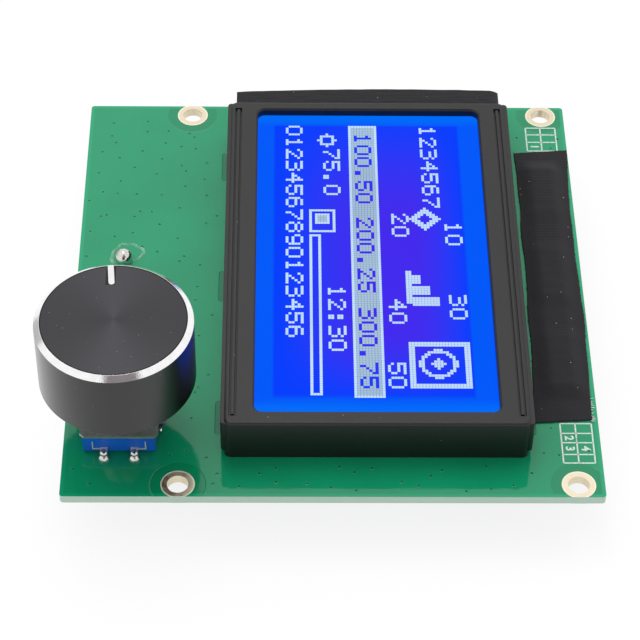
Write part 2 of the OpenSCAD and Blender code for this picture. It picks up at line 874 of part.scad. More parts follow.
module encoder_terminals() {
    inside = terminal_seat - easy_fit;
    color("#d8d2c0")
    at_encoder() {
        for (p = switch_places()) {
            translate(p) terminal(switch_reach - enc_l / 2 + inside);
            translate([p.x, 0, 0]) mirror([p.x < 0 ? 1 : 0, 0, 0]) terminal_wing();
        }
        for (p = signal_places()) translate(p) mirror([0, 1, 0])
            terminal(signal_reach - enc_l / 2 + inside);
    }
}

// Printed code ring on the floor of the base
module contact_tracks() {
    color("#c9a13c")
    at_encoder() translate([0, 0, well_floor]) linear_extrude(track_t) difference() {
        circle(d = well_d - 2 * track_rim);
        circle(d = pocket_d + 2 * track_rim);
        for (i = [1 : detents / 2]) rotate(i * 720 / detents) translate([track_r, 0])
            square([track_gap_l, track_gap_w], center = true);
    }
}

// Round bar with one flat, as a flat outline
module flatted_circle(d, keep) {
    intersection() {
        circle(d = d);
        translate([-d, -d]) square([2 * d, d + keep]);
    }
}

// Disc that turns with the shaft, with one radial groove for each click
module encoder_rotor() {
    color("#e8e4d8")
    at_encoder() difference() {
        translate([0, 0, rotor_z]) linear_extrude(rotor_top - rotor_z) difference() {
            circle(d = rotor_d);
            flatted_circle(tail_d + 2 * shaft_fit, tail_flat + shaft_fit);
        }
        for (i = [1 : detents]) rotate(i * 360 / detents)
            span([rotor_d / 2 - click_l, -click_w / 2, rotor_top - click_depth],
                 [rotor_d, click_w / 2, rotor_top + past]);
    }
}

module wiper_ring() {
    color("#d2b46a")
    at_encoder() {
        translate([0, 0, rotor_z - wiper_t]) linear_extrude(wiper_t) difference() {
            circle(d = rotor_d - 2 * wiper_rim);
            circle(d = pocket_d + 2 * wiper_rim);
        }
        for (i = [0, 1, 2]) rotate(i * 120) translate([track_r, 0, well_floor + track_t + easy_fit])
            cylinder(h = rotor_z - well_floor - track_t - easy_fit, d = finger_d);
    }
}

module detent_spring() {
    color("#c0c4c8")
    at_encoder() {
        translate([0, 0, flange_z - spring_t]) linear_extrude(spring_t) difference() {
            circle(d = rotor_d);
            circle(d = rotor_d - 2 * spring_w);
        }
        for (side = [-1, 1]) translate([side * (rotor_d - spring_w) / 2, 0, rotor_top + easy_fit])
            cylinder(h = flange_z - spring_t - rotor_top - easy_fit, d = finger_d);
    }
}

// Snap dome on the floor of the base, under the end of the shaft
module switch_dome() {
    ball_r = (dome_r * dome_r + dome_h * dome_h) / (2 * dome_h);
    color("#d0d0d0")
    at_encoder() translate([0, 0, pocket_floor]) rotate_extrude() intersection() {
        translate([0, dome_h - ball_r]) difference() {
            circle(ball_r, $fn = shallow_fn);
            circle(ball_r - dome_t, $fn = shallow_fn);
        }
        square([2 * dome_r, 2 * dome_h]);
    }
}

module encoder_shaft() {
    color("#c2c4c6")
    at_encoder() {
        difference() {
            translate([0, 0, tail_z]) linear_extrude(shoulder_z - tail_z) flatted_circle(tail_d, tail_flat);
            translate([0, 0, clip_z]) linear_extrude(clip_t) difference() {
                circle(d = 2 * tail_d);
                circle(d = clip_groove_d - 2 * close_fit);
            }
        }
        difference() {
            translate([0, 0, shoulder_z]) cylinder(h = shaft_tip - shoulder_z, d = shaft_d);
            span([-shaft_d, shaft_flat - shaft_d / 2, shaft_tip - flat_l],
                 [shaft_d, shaft_d, shaft_tip + past]);
        }
    }
}

// Open ring in the shaft's groove, under the rotor
module shaft_clip() {
    color("#a8acb0")
    at_encoder() translate([0, 0, clip_z + close_fit])
    linear_extrude(clip_t - 2 * close_fit) difference() {
        circle(d = clip_d);
        circle(d = clip_groove_d);
        translate([0, -clip_mouth / 2]) square([clip_d, clip_mouth]);
    }
}

// Moulded core: a hub on the shaft, a ring in the skirt and spokes between them
module knob_insert() {
    insert_h = insert_top - insert_z;
    bore_d = shaft_d + 2 * close_fit;
    flat_z = shaft_tip - flat_l + easy_fit;
    color("#1c1c1e")
    at_encoder() difference() {
        translate([0, 0, insert_z]) {
            cylinder(h = insert_h, r = hub_r);
            linear_extrude(insert_h) difference() {
                circle(skirt_r);
                circle(skirt_r - insert_ring_t);
            }
            translate([0, 0, insert_h - insert_web_t]) cylinder(h = insert_web_t, r = skirt_r);
            for (i = [1 : spokes]) rotate(i * 360 / spokes)
                span([shaft_d / 2, -spoke_t / 2, spoke_rise],
                     [skirt_r - insert_ring_t / 2, spoke_t / 2, insert_h]);
        }
        translate([0, 0, insert_z - past]) cylinder(h = flat_z - insert_z + past, d = bore_d);
        translate([0, 0, insert_z - past]) linear_extrude(shaft_tip - insert_z + past + easy_fit)
            flatted_circle(bore_d, shaft_flat - shaft_d / 2 + close_fit);
    }
}

// Turned cap, closed at the top, with a bright cut edge
module knob_cap() {
    foot_r = knob_foot_d / 2;
    rotate_extrude($fn = 96) polygon([
        [0, insert_top], [skirt_r, insert_top], [skirt_r, knob_z], [foot_r - knob_foot_edge, knob_z],
        [foot_r, knob_z + knob_foot_edge], [knob_d / 2, knob_top - cut_h], [face_r, knob_top], [0, knob_top]
    ]);
}

// Milled slot for the pointer, with a round inner end
module pointer_slot() {
    round_y = face_r - pointer_l + pointer_w / 2;
    rotate(pointer_turn) translate([0, 0, knob_top - pointer_depth]) {
        translate([0, round_y, 0]) cylinder(h = 2 * pointer_depth, d = pointer_w);
        span([-pointer_w / 2, round_y, 0], [pointer_w / 2, knob_d, 2 * pointer_depth]);
    }
}

module knob_body() {
    color("#2c2c30")
    at_encoder() difference() {
        knob_cap();
        pointer_slot();
    }
}

module knob_pointer() {
    color("#f4f4f2")
    at_encoder() intersection() {
        knob_cap();
        pointer_slot();
    }
}

// Round sounder hung under the board, with its sound hole at the free end
module buzzer_case() {
    low = back_z - buzzer_h;
    hole_top = low + sound_hole_depth;
    color("#1a1a1c")
    at_buzzer() rotate_extrude() polygon([
        [0, back_z], [buzzer_d / 2, back_z], [buzzer_d / 2, low + buzzer_edge_cut],
        [buzzer_d / 2 - buzzer_edge_cut, low], [sound_hole_r, low], [sound_hole_r, hole_top], [0, hole_top]
    ]);
}

module buzzer_pins() {
    color("#c4c4c4")
    at_buzzer() for (side = [-0.5, 0.5]) translate([0, side * buzzer_pitch, back_z])
        cylinder(h = board_t, d = lead_d);
}

// Epoxy caps over the bare driver chips
module driver_caps() {
    cap_r = (blob_d * blob_d / 4 + blob_h * blob_h) / (2 * blob_h);
    color("#161618")
    at_lcd() for (step = [-1, 0, 1]) translate([0, step * blob_pitch, back_z])
        rotate_extrude() intersection() {
            translate([0, cap_r - blob_h]) circle(cap_r, $fn = shallow_fn);
            translate([0, -blob_h]) square([blob_d, blob_h]);
        }
}

module chip_bodies(x) {
    for (p = chip_places(x)) translate([p.x, p.y, 0])
        block(chip_l - 2 * chip_cap, chip_w, back_z - chip_h, back_z);
}

module chip_resistors() {
    color("#202022") chip_bodies(chip_columns()[0]);
}

module chip_capacitors() {
    color("#a88860") chip_bodies(chip_columns()[1]);
}

module chip_ends() {
    color("#c8cacc")
    for (x = chip_columns(), side = [-0.5, 0.5], p = chip_places(x))
        translate([p.x + side * (chip_l - chip_cap), p.y, 0])
            block(chip_cap, chip_w, back_z - chip_h, back_z);
}

circuit_board();
hole_plating();
solder_joints();
bezel_frame();
front_polariser();
front_glass();
rear_glass();
rear_polariser();
diffuser_film();
light_guide();
reflector_film();
backlight_tray();
lamp_strip();
backlight_lamps();
backlight_leads();
zebra_strips();
backlight_tape();
header_tape();
box_header(1);  // box_header_1
box_header(2);  // box_header_2
box_header(3);  // box_header_3
header_pins();
encoder_base();
encoder_cover();
encoder_bush();
encoder_terminals();
contact_tracks();
encoder_rotor();
wiper_ring();
detent_spring();
switch_dome();
encoder_shaft();
shaft_clip();
knob_insert();
knob_body();
knob_pointer();
buzzer_case();
buzzer_pins();
driver_caps();
chip_resistors();
chip_capacitors();
chip_ends();
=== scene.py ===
"""Looks of a dot-matrix display board with a push-and-turn knob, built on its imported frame."""
import json
import math
import random

import bmesh
import bpy
from bpy.props import FloatProperty, FloatVectorProperty, IntProperty, PointerProperty
from mathutils import Matrix, Vector, noise


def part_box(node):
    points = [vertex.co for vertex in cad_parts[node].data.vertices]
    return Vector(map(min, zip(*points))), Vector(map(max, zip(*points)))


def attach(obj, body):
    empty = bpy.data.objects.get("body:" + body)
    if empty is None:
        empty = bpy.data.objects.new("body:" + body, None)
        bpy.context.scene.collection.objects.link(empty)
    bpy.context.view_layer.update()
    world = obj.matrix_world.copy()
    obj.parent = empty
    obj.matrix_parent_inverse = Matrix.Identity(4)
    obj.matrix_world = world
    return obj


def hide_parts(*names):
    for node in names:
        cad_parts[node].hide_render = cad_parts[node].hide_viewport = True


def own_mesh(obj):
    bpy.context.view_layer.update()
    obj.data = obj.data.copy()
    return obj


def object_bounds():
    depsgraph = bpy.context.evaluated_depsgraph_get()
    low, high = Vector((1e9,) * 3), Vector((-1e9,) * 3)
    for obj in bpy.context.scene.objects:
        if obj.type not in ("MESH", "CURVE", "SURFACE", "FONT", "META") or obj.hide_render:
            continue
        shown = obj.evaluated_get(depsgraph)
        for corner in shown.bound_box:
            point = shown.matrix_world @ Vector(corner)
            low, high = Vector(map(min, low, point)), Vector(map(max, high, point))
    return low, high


bl_info = {
    "name": "Display board looks",
    "version": (1, 0, 0),
    "blender": (4, 5, 0),
    "location": "3D View > Sidebar > Display board",
    "description": "Finishes, cloth tape, screen dots, print and stage of a display board",
    "category": "Object",
}

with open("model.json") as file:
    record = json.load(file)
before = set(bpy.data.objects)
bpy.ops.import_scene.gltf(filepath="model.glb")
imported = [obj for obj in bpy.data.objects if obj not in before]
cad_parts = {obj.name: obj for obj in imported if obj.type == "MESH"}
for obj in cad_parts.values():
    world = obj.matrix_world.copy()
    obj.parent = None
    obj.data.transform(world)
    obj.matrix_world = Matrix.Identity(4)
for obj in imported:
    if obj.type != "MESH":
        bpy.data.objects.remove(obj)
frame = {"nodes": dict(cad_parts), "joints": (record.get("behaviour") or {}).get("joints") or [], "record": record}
CAD_LOW, CAD_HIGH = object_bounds()
MM = 0.001
UP = Vector((0, 0, 1))

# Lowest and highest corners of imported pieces
BOARD_LOW, BOARD_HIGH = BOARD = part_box("circuit_board")
BEZEL_LOW, BEZEL_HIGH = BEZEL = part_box("bezel_frame")
TAPE_LOW, TAPE_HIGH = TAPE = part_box("header_tape")
LAMP_TAPE_LOW, LAMP_TAPE_HIGH = LAMP_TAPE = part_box("backlight_tape")
BUSH_LOW, BUSH_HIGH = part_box("encoder_bush")
POINTER_LOW, POINTER_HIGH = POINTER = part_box("knob_pointer")
CAPS_LOW, CAPS_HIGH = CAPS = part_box("driver_caps")
HEADERS = [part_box(f"box_header_{number}") for number in (1, 2, 3)]
HOLE_PATTERN = next(m for m in frame["record"]["mounts"] if m["name"] == "mounting_holes")["dims"]
KNOB_AXIS = Vector(next(j for j in frame["joints"] if j["name"] == "knob_spin")["pos_m"])

# Sizes that the pieces share, in metres
FACE, BACK = BOARD_HIGH.z, BOARD_LOW.z
PIN_ROWS, PIN_PITCH = 5, 2.54 * MM
LEAD_R = 0.3 * MM
SWITCH_REACH, SWITCH_PITCH = 7.0 * MM, 5.0 * MM
SIGNAL_REACH, SIGNAL_PITCH = 7.5 * MM, 2.5 * MM
LEG_PITCH, LEG_W = 30.0 * MM, 6.6 * MM
TAPE_T = 0.25 * MM
PRINT_T, PRINT_HALF = 0.02 * MM, 0.01 * MM
CAP_R = (CAPS_HIGH.x - CAPS_LOW.x) / 2
# Inner radius of the knob's bright cut edge
CUT_R = 11.77 * MM


def linear(hex_colour):
    """Scene-linear colour of an sRGB hex value."""
    channels = [int(hex_colour[i:i + 2], 16) / 255 for i in (1, 3, 5)]
    return tuple(c / 12.92 if c <= 0.04045 else ((c + 0.055) / 1.055) ** 2.4 for c in channels)


def dimmed(colour, share):
    """Colour with a share of its light."""
    return tuple(share * c for c in colour)


def per_mm(size):
    """Texture scale at which one feature is that many millimetres wide."""
    return 1 / (size * MM)


def wave_scale(spacing):
    """Scale of a band texture whose bands are that many millimetres apart."""
    return math.pi / 10 / (spacing * MM)


def smooth(edge0, edge1, value):
    """Smooth step from 0 at edge0 to 1 at edge1."""
    t = min(1.0, max(0.0, (value - edge0) / (edge1 - edge0)))
    return t * t * (3 - 2 * t)


def middle(box):
    """Centre of a low and high corner."""
    return (box[0] + box[1]) / 2


def colour_property(name, description, hex_colour):
    """Colour setting whose default is an sRGB hex value."""
    return FloatVectorProperty(name=name, description=description, subtype="COLOR", size=3,
                               min=0.0, max=1.0, default=linear(hex_colour))


def length_property(name, description, millimetres):
    """Length setting whose default is in millimetres."""
    return FloatProperty(name=name, description=description, unit="LENGTH", precision=5,
                         min=0.0, default=millimetres * MM)


def angle_property(name, description, degrees):
    """Angle setting whose default is in degrees."""
    return FloatProperty(name=name, description=description, subtype="ANGLE", unit="ROTATION",
                         default=math.radians(degrees))


def level_property(name, description, default, low=0.0, unit="NONE"):
    """Plain number setting."""
    return FloatProperty(name=name, description=description, default=default, min=low, unit=unit)


class BoardLook(bpy.types.PropertyGroup):
    """Colours and fine sizes of the circuit board."""
    mask_colour: colour_property("Solder mask", "Green solder mask over copper", "#109C6C")
    bare_colour: colour_property("Bare mask", "Solder mask where there is no copper below", "#0A8E60")
    # Mask along the outline, lightened by a painted glow of light through the laminate's edge
    rim_glow_colour: colour_property("Rim", "Solder mask on the strip along the outline", "#11A474")
    # Pads at the snap legs, darkened by painted shade from the bezel's legs and rail
    leg_shade_colour: colour_property("Leg pads", "Solder mask beside the bezel's snap legs", "#0E7A56")
    edge_colour: colour_property("Laminate edge", "Cut edge of the glass-fibre laminate", "#E0FFEC")
    print_colour: colour_property("Print", "White legend print", "#EAF5EE")
    print_width: length_property("Print width", "Width of a printed line", 0.24)
    keepout: length_property("Keep-out", "Radius round each mounting hole without copper", 4.5)
    leg_gap: length_property("Leg gap", "Width of the pad beside the bezel's rail, at each snap leg", 0.7)
    rim_width: length_property("Rim width", "Strip along the outline without copper", 0.6)
    via_spacing: length_property("Via spacing", "Average spacing of the vias", 3.8)
    via_width: length_property("Via width", "Diameter of a via's pit", 0.42)


class ScreenLook(bpy.types.PropertyGroup):
    """Colours and dots of the display face."""
    margin_colour: colour_property("Margin", "Backlight round the dots", "#005AF9")
    end_colour: colour_property("End margins", "Backlight beyond both ends of the dots", "#006CF9")
    cool_colour: colour_property("Cool rim", "Dot field at its rim", "#033EFD")
    warm_colour: colour_property("Warm middle", "Dot field at its middle", "#4428EC")
    dot_colour: colour_property("Lit dots", "Dots of thin lines, which let the light through", "#CAE8FE")
    area_colour: colour_property("Lit areas", "Dots inside a wide lit area, a little dimmer", "#ACC9D2")
    dot_pitch: length_property("Dot pitch", "Spacing of the dots", 0.5135)
    dot_gap: length_property("Dot gap", "Gap between two dots", 0.04)
    shift_across: length_property("Shift across", "Dot field's centre from the window's, to the knob", 0.56)
    shift_along: length_property("Shift along", "Dot field's centre from the window's, to the lamps", 0.81)
    field_blur: length_property("Field blur", "Half the width of the field's soft rim", 0.35)


class TapeLook(bpy.types.PropertyGroup):
    """Black cloth tape over the headers and the lamp housing."""
    cloth_colour: colour_property("Cloth", "Woven black cloth", "#1F1F23")
    lint_colour: colour_property("Lint", "Lint caught in the cloth", "#C6C8C8")
    fibre_colour: colour_property("Fibre", "Loose fibres at the near end that the dye has left", "#F2F8F4")
    rib_spacing: level_property("Rib spacing", "Spacing of the cross ribs in millimetres", 0.4, 0.1)
    fray_length: length_property("Fray", "Length of loose threads at the edges", 0.35)
    fray_count: IntProperty(name="Fray count", description="Loose threads along one edge", default=60, min=0)


class KnobLook(bpy.types.PropertyGroup):
    """Finish of the turned knob."""
    film_colour: colour_property("Film", "Black anodised film", "#343438")
    cut_colour: colour_property("Cut edge", "Bright cut edge", "#FAFAFA")
    paint_colour: colour_property("Pointer", "White paint in the pointer slot", "#F6F6F4")
    dust_colour: colour_property("Dust", "Dust on the film", "#8C8C90")
    groove_spacing: level_property("Groove spacing", "Turning grooves' spacing in millimetres", 0.26, 0.02)


class PlasticLook(bpy.types.PropertyGroup):
    """Colours of the moulded pieces."""
    bezel_colour: colour_property("Bezel", "Satin black moulding", "#131215")
    header_colour: colour_property("Headers", "Black nylon of the headers and buzzer", "#1A1A1C")
    base_colour: colour_property("Encoder base", "Blue thermoplastic", "#166CE4")
    dust_colour: colour_property("Dust", "Dust on dark surfaces", "#A6A6A6")


class MetalLook(bpy.types.PropertyGroup):
    """Colours of the bare metals."""
    pad_colour: colour_property("Pads", "Tinned copper pads", "#E4D7BC")
    solder_colour: colour_property("Solder", "Bright solder", "#DEDCD7")
    terminal_colour: colour_property("Terminals", "Tinned bronze terminals", "#F2E6CC")
    cover_colour: colour_property("Cover", "Zinc-plated steel", "#B8C0BA")
    brass_colour: colour_property("Pins", "Gold-flashed brass", "#D9B765")


class StageLook(bpy.types.PropertyGroup):
    """Floor, light and camera."""
    floor_colour: colour_property("Floor", "Pale floor, as it throws light back at the object", "#C0C0C0")
    shadow_colour: colour_property("Floor shadow", "Part of its white that a shadow takes", "#727272")
    floor_glow: level_property("Floor glow", "Light that the floor adds where it is seen", 0.85)
    fill_level: level_property("Fill", "Light from all round", 0.6)
    key_level: level_property("Key", "Light from the wide soft source behind and above", 1.55)
    lamp_power: level_property("Lamp power", "Power of the long lamp overhead", 1.5, unit="POWER")
    azimuth: angle_property("Azimuth", "Camera's turn round the object", -1.3422)
    elevation: angle_property("Elevation", "Camera's height above the horizon", 47.4297)
    roll: angle_property("Roll", "Camera's roll", 1.1622)
    distance: length_property("Distance", "Camera to its target", 405.6547)
    target: FloatVectorProperty(name="Target", description="Point that the camera looks at", subtype="XYZ",
                                unit="LENGTH", default=(-9.1738 * MM, -7.8236 * MM, 0.0))
    lens: level_property("Lens", "Focal length in millimetres", 132.49, 1.0)


# Settings of a mix node that mixes colours, and of a range node with soft ends
COLOURS = {"data_type": "RGBA"}
SOFT = {"interpolation_type": "SMOOTHSTEP"}


def plug(tree, socket, value):
    """Links a socket to a node's output, or sets it; a colour gets full alpha."""
    if isinstance(value, bpy.types.NodeSocket):
        tree.links.new(value, socket)
    else:
        socket.default_value = (*value, 1.0) if socket.type == "RGBA" else value


def add_node(tree, kind, *values, output=None, sockets=None, **settings):
    """Adds one node and gives back an output; values fill its open sockets in order, others go by name."""
    node = tree.nodes.new("ShaderNode" + kind)
    for name, value in settings.items():
        setattr(node, name, value)
    for socket, value in zip([socket for socket in node.inputs if socket.enabled], values):
        plug(tree, socket, value)
    for name, value in (sockets or {}).items():
        plug(tree, node.inputs[name], value)
    return node.outputs[output] if output else next((end for end in node.outputs if end.enabled), None)


class Finish:
    """A material in the making: its shader, and the place in the frame that its patterns follow."""

    def __init__(self, name, constants):
        self.material = bpy.data.materials.new(name)
        self.material.use_nodes = True
        self.tree = self.material.node_tree
        self.shader = self.tree.nodes["Principled BSDF"]
        for socket, value in constants.items():
            self.give(socket, value)
        self.place = self.add("TexCoord", output="Object")

    def add(self, kind, *values, **settings):
        """Adds a node to this material."""
        return add_node(self.tree, kind, *values, **settings)

    def give(self, socket, value):
        """Links a value to the shader, or sets it there."""
        plug(self.tree, self.shader.inputs[socket], value)

    def uneven(self, size, low, high, place=None):
        """Number that wanders between two levels, with lumps that many millimetres wide."""
        lumps = self.add("TexNoise", place or self.place, per_mm(size))
        return self.add("MapRange", lumps, 0.3, 0.7, low, high, **SOFT)

    def mottled(self, size, first, second, most=1.0, place=None):
        """Colour that wanders from one to another, with patches that many millimetres wide."""
        return self.add("Mix", self.uneven(size, 0.0, most, place), first, second, **COLOURS)

    def toned(self, size, colour, share, place=None):
        """Colour that is dimmed to a share of its light in patches that many millimetres wide."""
        return self.mottled(size, colour, dimmed(colour, share), place=place)

    def dusted(self, colour, dust, spacing, size, share):
        """Colour with specks of dust: spacing and size in millimetres, share of the cells that have one."""
        cells = self.place, per_mm(spacing)
        near = self.add("Math", self.add("TexVoronoi", *cells), size / spacing / 2, operation="LESS_THAN")
        chance = self.add("SeparateColor", self.add("TexVoronoi", *cells, output="Color"), output="Red")
        picked = self.add("Math", chance, share, operation="LESS_THAN")
        specks = self.add("Math", near, picked, operation="MULTIPLY")
        return self.add("Mix", specks, colour, dust, **COLOURS)

    def grained(self, size, depth, edge=0.0):
        """Raises a fine grain, and rounds sharp edges by a radius to the eye; all in millimetres."""
        sockets = {"Height": self.uneven(size, 0.0, 1.0), "Distance": depth * MM}
        if edge:
            sockets["Normal"] = self.add("Bevel", edge * MM, samples=6)
        self.give("Normal", self.add("Bump", sockets=sockets))

    def from_axis(self, centre):
        """Distance from the upright axis through a place."""
        offset = self.add("VectorMath", self.place, centre, operation="SUBTRACT")
        flat = self.add("VectorMath", offset, (1.0, 1.0, 0.0), operation="MULTIPLY")
        return self.add("VectorMath", flat, operation="LENGTH")

    def from_hole(self):
        """Distance to the middle of the nearest mounting hole."""
        nearest = 1.0
        for hole in hole_places():
            nearest = self.add("Math", self.from_axis(hole), nearest, operation="MINIMUM")
        return nearest


def clear_of_legs(finish, look):
    """0 on the rounded pads under the bezel's snap legs, 1 elsewhere."""
    add, round_off, inward, beside, blur = finish.add, 0.7 * MM, 1.6 * MM, 0.4 * MM, 0.06 * MM
    offset = add("VectorMath", finish.place, middle(BEZEL), operation="SUBTRACT")
    across, along = (add("SeparateXYZ", offset, output=axis) for axis in "XY")
    from_leg = add("Math", along, LEG_PITCH / 2, -LEG_PITCH / 2, operation="WRAP")
    mirrored = add("VectorMath", add("CombineXYZ", across, from_leg), operation="ABSOLUTE")
    leg = Vector(((BEZEL_HIGH.x - BEZEL_LOW.x) / 2 - inward, 0, 0))
    aside = add("VectorMath", mirrored, leg, operation="SUBTRACT")
    reach = add("VectorMath", aside, operation="ABSOLUTE")
    straight = Vector((inward + look.leg_gap - round_off, LEG_W / 2 + beside - round_off, 0))
    past = add("VectorMath", reach, straight, operation="SUBTRACT")
    corner = add("VectorMath", past, (0.0, 0.0, 0.0), operation="MAXIMUM")
    away = add("VectorMath", corner, operation="LENGTH")
    return add("MapRange", away, round_off - blur, round_off + blur)


def rim_glow_mask(finish, look):
    """1 on the strip along the board's outline that the copper stops short of, where the mask gets a painted glow.
    """
    add, blur = finish.add, 0.08 * MM
    offset = add("VectorMath", finish.place, middle(BOARD), operation="SUBTRACT")
    reach = add("VectorMath", offset, operation="ABSOLUTE")
    left = add("VectorMath", (BOARD_HIGH - BOARD_LOW) / 2, reach, operation="SUBTRACT")
    nearer = add("Math", *(add("SeparateXYZ", left, output=axis) for axis in "XY"), operation="MINIMUM")
    return add("MapRange", nearer, look.rim_width + blur, look.rim_width)


def solder_mask(look):
    """Epoxy solder mask, screen-coated on laminate: wet gloss, a step where copper ends, matt cut sides."""
    finish = Finish("solder_mask_on_laminate", {"IOR": 1.52})
    add = finish.add
    facing = add("SeparateXYZ", add("NewGeometry", output="True Normal"), output="Z")
    on_face = add("Math", add("Math", facing, operation="ABSOLUTE"), 0.5, operation="GREATER_THAN")
    off_holes = add("MapRange", finish.from_hole(), look.keepout, look.keepout + 0.12 * MM)
    off_legs = clear_of_legs(finish, look)
    inner = add("Mix", off_holes, look.bare_colour, finish.toned(14.0, look.mask_colour, 0.92), **COLOURS)
    # Pads at the snap legs: bare mask, darkened further by painted shade from the bezel's legs and rail
    padded = add("Mix", off_legs, look.leg_shade_colour, inner, **COLOURS)
    # Strip along the outline: mask with no copper below, lightened by a painted glow of light through the laminate
    face = add("Mix", rim_glow_mask(finish, look), padded, look.rim_glow_colour, **COLOURS)
    plies = add("TexWave", finish.place, wave_scale(0.2), 1.5, output="Fac", bands_direction="Z")
    side = add("Mix", plies, look.edge_colour, dimmed(look.edge_colour, 0.88), **COLOURS)
    finish.give("Base Color", add("Mix", on_face, side, face, **COLOURS))
    finish.give("Roughness", add("Mix", on_face, 0.6, finish.uneven(6.0, 0.05, 0.09)))
    copper = add("Math", off_holes, off_legs, operation="MULTIPLY")
    level = add("Math", copper, finish.uneven(1.6, 0.0, 0.06), operation="ADD")
    finish.give("Normal", add("Bump", sockets={"Height": level, "Distance": 0.04 * MM}))
    return finish.material


def covered_copper(look):
    """Solder mask over a copper track: the same gloss, a shade lighter than bare mask."""
    finish = Finish("solder_mask_on_track", {"IOR": 1.5, "Roughness": 0.12})
    finish.give("Base Color", finish.mottled(5.0, dimmed(look.mask_colour, 1.15), look.mask_colour))
    return finish.material


def via_pit(look):
    """Via filled with solder mask: a dark, glossy dimple."""
    finish = Finish("solder_mask_in_via", {"IOR": 1.5, "Roughness": 0.3, "Specular IOR Level": 0.2})
    mask = look.mask_colour
    finish.give("Base Color", finish.mottled(0.5, dimmed(mask, 0.2), dimmed(mask, 0.45)))
    return finish.material


def legend_ink(look):
    """Screen-printed white epoxy ink: matt, a little thin in places so green shows through."""
    finish = Finish("legend_ink_white", {"Roughness": 0.55})
    finish.give("Base Color", finish.mottled(0.4, look.print_colour, look.mask_colour, 0.3))
    finish.grained(0.15, 0.01)
    return finish.material


def tinned_pad(look):
    """Tinned copper pad, levelled with hot air: pale satin metal with a bright bead along its rim."""
    finish = Finish("tinned_copper_pad", {})
    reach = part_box("hole_plating")[1].x - max(hole.x for hole in hole_places())
    bead = finish.add("MapRange", finish.from_hole(), reach - 0.26 * MM, reach - 0.2 * MM)
    plain = finish.toned(0.8, look.pad_colour, 0.95)
    finish.give("Base Color", finish.add("Mix", bead, plain, linear("#F6EFDC"), **COLOURS))
    finish.give("Metallic", finish.add("Mix", bead, 1.0, 0.3))
    finish.give("Roughness", finish.uneven(0.8, 0.28, 0.4))
    finish.grained(0.8, 0.003)
    return finish.material


def bare_metal(name, colour, roughness, grit, depth, metallic=1.0):
    """Bare metal whose tone, gloss and surface vary with a fine grit: grit and depth in millimetres."""
    finish = Finish(name, {"Metallic": metallic})
    finish.give("Base Color", finish.toned(grit, colour, 0.86))
    finish.give("Roughness", finish.uneven(grit, 0.8 * roughness, 1.2 * roughness))
    finish.grained(grit, depth)
    return finish.material


def moulded_plastic(name, colour, roughness, grit, depth, dust=None, edge=0.0):
    """Moulded thermoplastic: the fine spark-eroded grain of its tool, faint flow tone, and dust on dark ones."""
    finish = Finish(name, {"IOR": 1.5})
    shade = finish.toned(7.0, colour, 0.82)
    finish.give("Base Color", shade if dust is None else finish.dusted(shade, dust, 2.0, 0.16, 0.3))
    finish.give("Roughness", finish.uneven(grit, 0.85 * roughness, 1.15 * roughness))
    finish.grained(grit, depth, edge)
    return finish.material


# The display cell behind its film: nearly black, with light of its own
LIT_CELL = {"Base Color": linear("#010206"), "Roughness": 0.25, "Specular IOR Level": 0.01,
            "Emission Strength": 1.0}


def lit_polariser(look):
    """Polariser film over a back-lit cell: blue light, paler round the dots and warmer in their middle."""
    finish = Finish("polariser_film_lit", LIT_CELL)
    add, soft = finish.add, look.field_blur
    across, along = (add("SeparateXYZ", finish.place, output=axis) for axis in "XY")
    low, high = dot_field(look)
    size = high - low

    def within(sides):
        """1 inside a field whose sides fade in from an outer to an inner line."""
        share = 1.0
        for axis, outer, inner in sides:
            share = add("Math", add("MapRange", axis, outer, inner, **SOFT), share, operation="MULTIPLY")
        return share

    inside = within(((across, low.x - soft, low.x + soft), (across, high.x + 2 * soft, high.x),
                     (along, low.y, low.y + 4 * soft), (along, high.y + soft, high.y - soft)))
    warmth = within(((across, low.x, low.x + 0.55 * size.x),
                     (across, high.x + 0.04 * size.x, high.x - 0.28 * size.x),
                     (along, low.y - 0.02 * size.y, low.y + 0.24 * size.y),
                     (along, high.y + 0.07 * size.y, high.y - 0.36 * size.y)))
    from_middle = add("Math", along, (low.y + high.y) / 2, operation="SUBTRACT")
    to_end = add("MapRange", add("Math", from_middle, operation="ABSOLUTE"),
                 (high.y - low.y) / 2 - 0.5 * MM, (high.y - low.y) / 2 + 2 * MM, **SOFT)
    field = add("Mix", warmth, look.cool_colour, look.warm_colour, **COLOURS)
    margin = add("Mix", to_end, look.margin_colour, look.end_colour, **COLOURS)
    light = add("Mix", inside, margin, field, **COLOURS)
    clouded = add("Mix", finish.uneven(18.0, 0.0, 0.08), light, look.cool_colour, **COLOURS)
    finish.give("Emission Color", clouded)
    return finish.material


def lit_dot(name, colour):
    """Dots that pass the backlight: a pale, even glow behind the film."""
    finish = Finish(name, LIT_CELL)
    finish.give("Emission Color", finish.toned(12.0, colour, 0.9))
    return finish.material


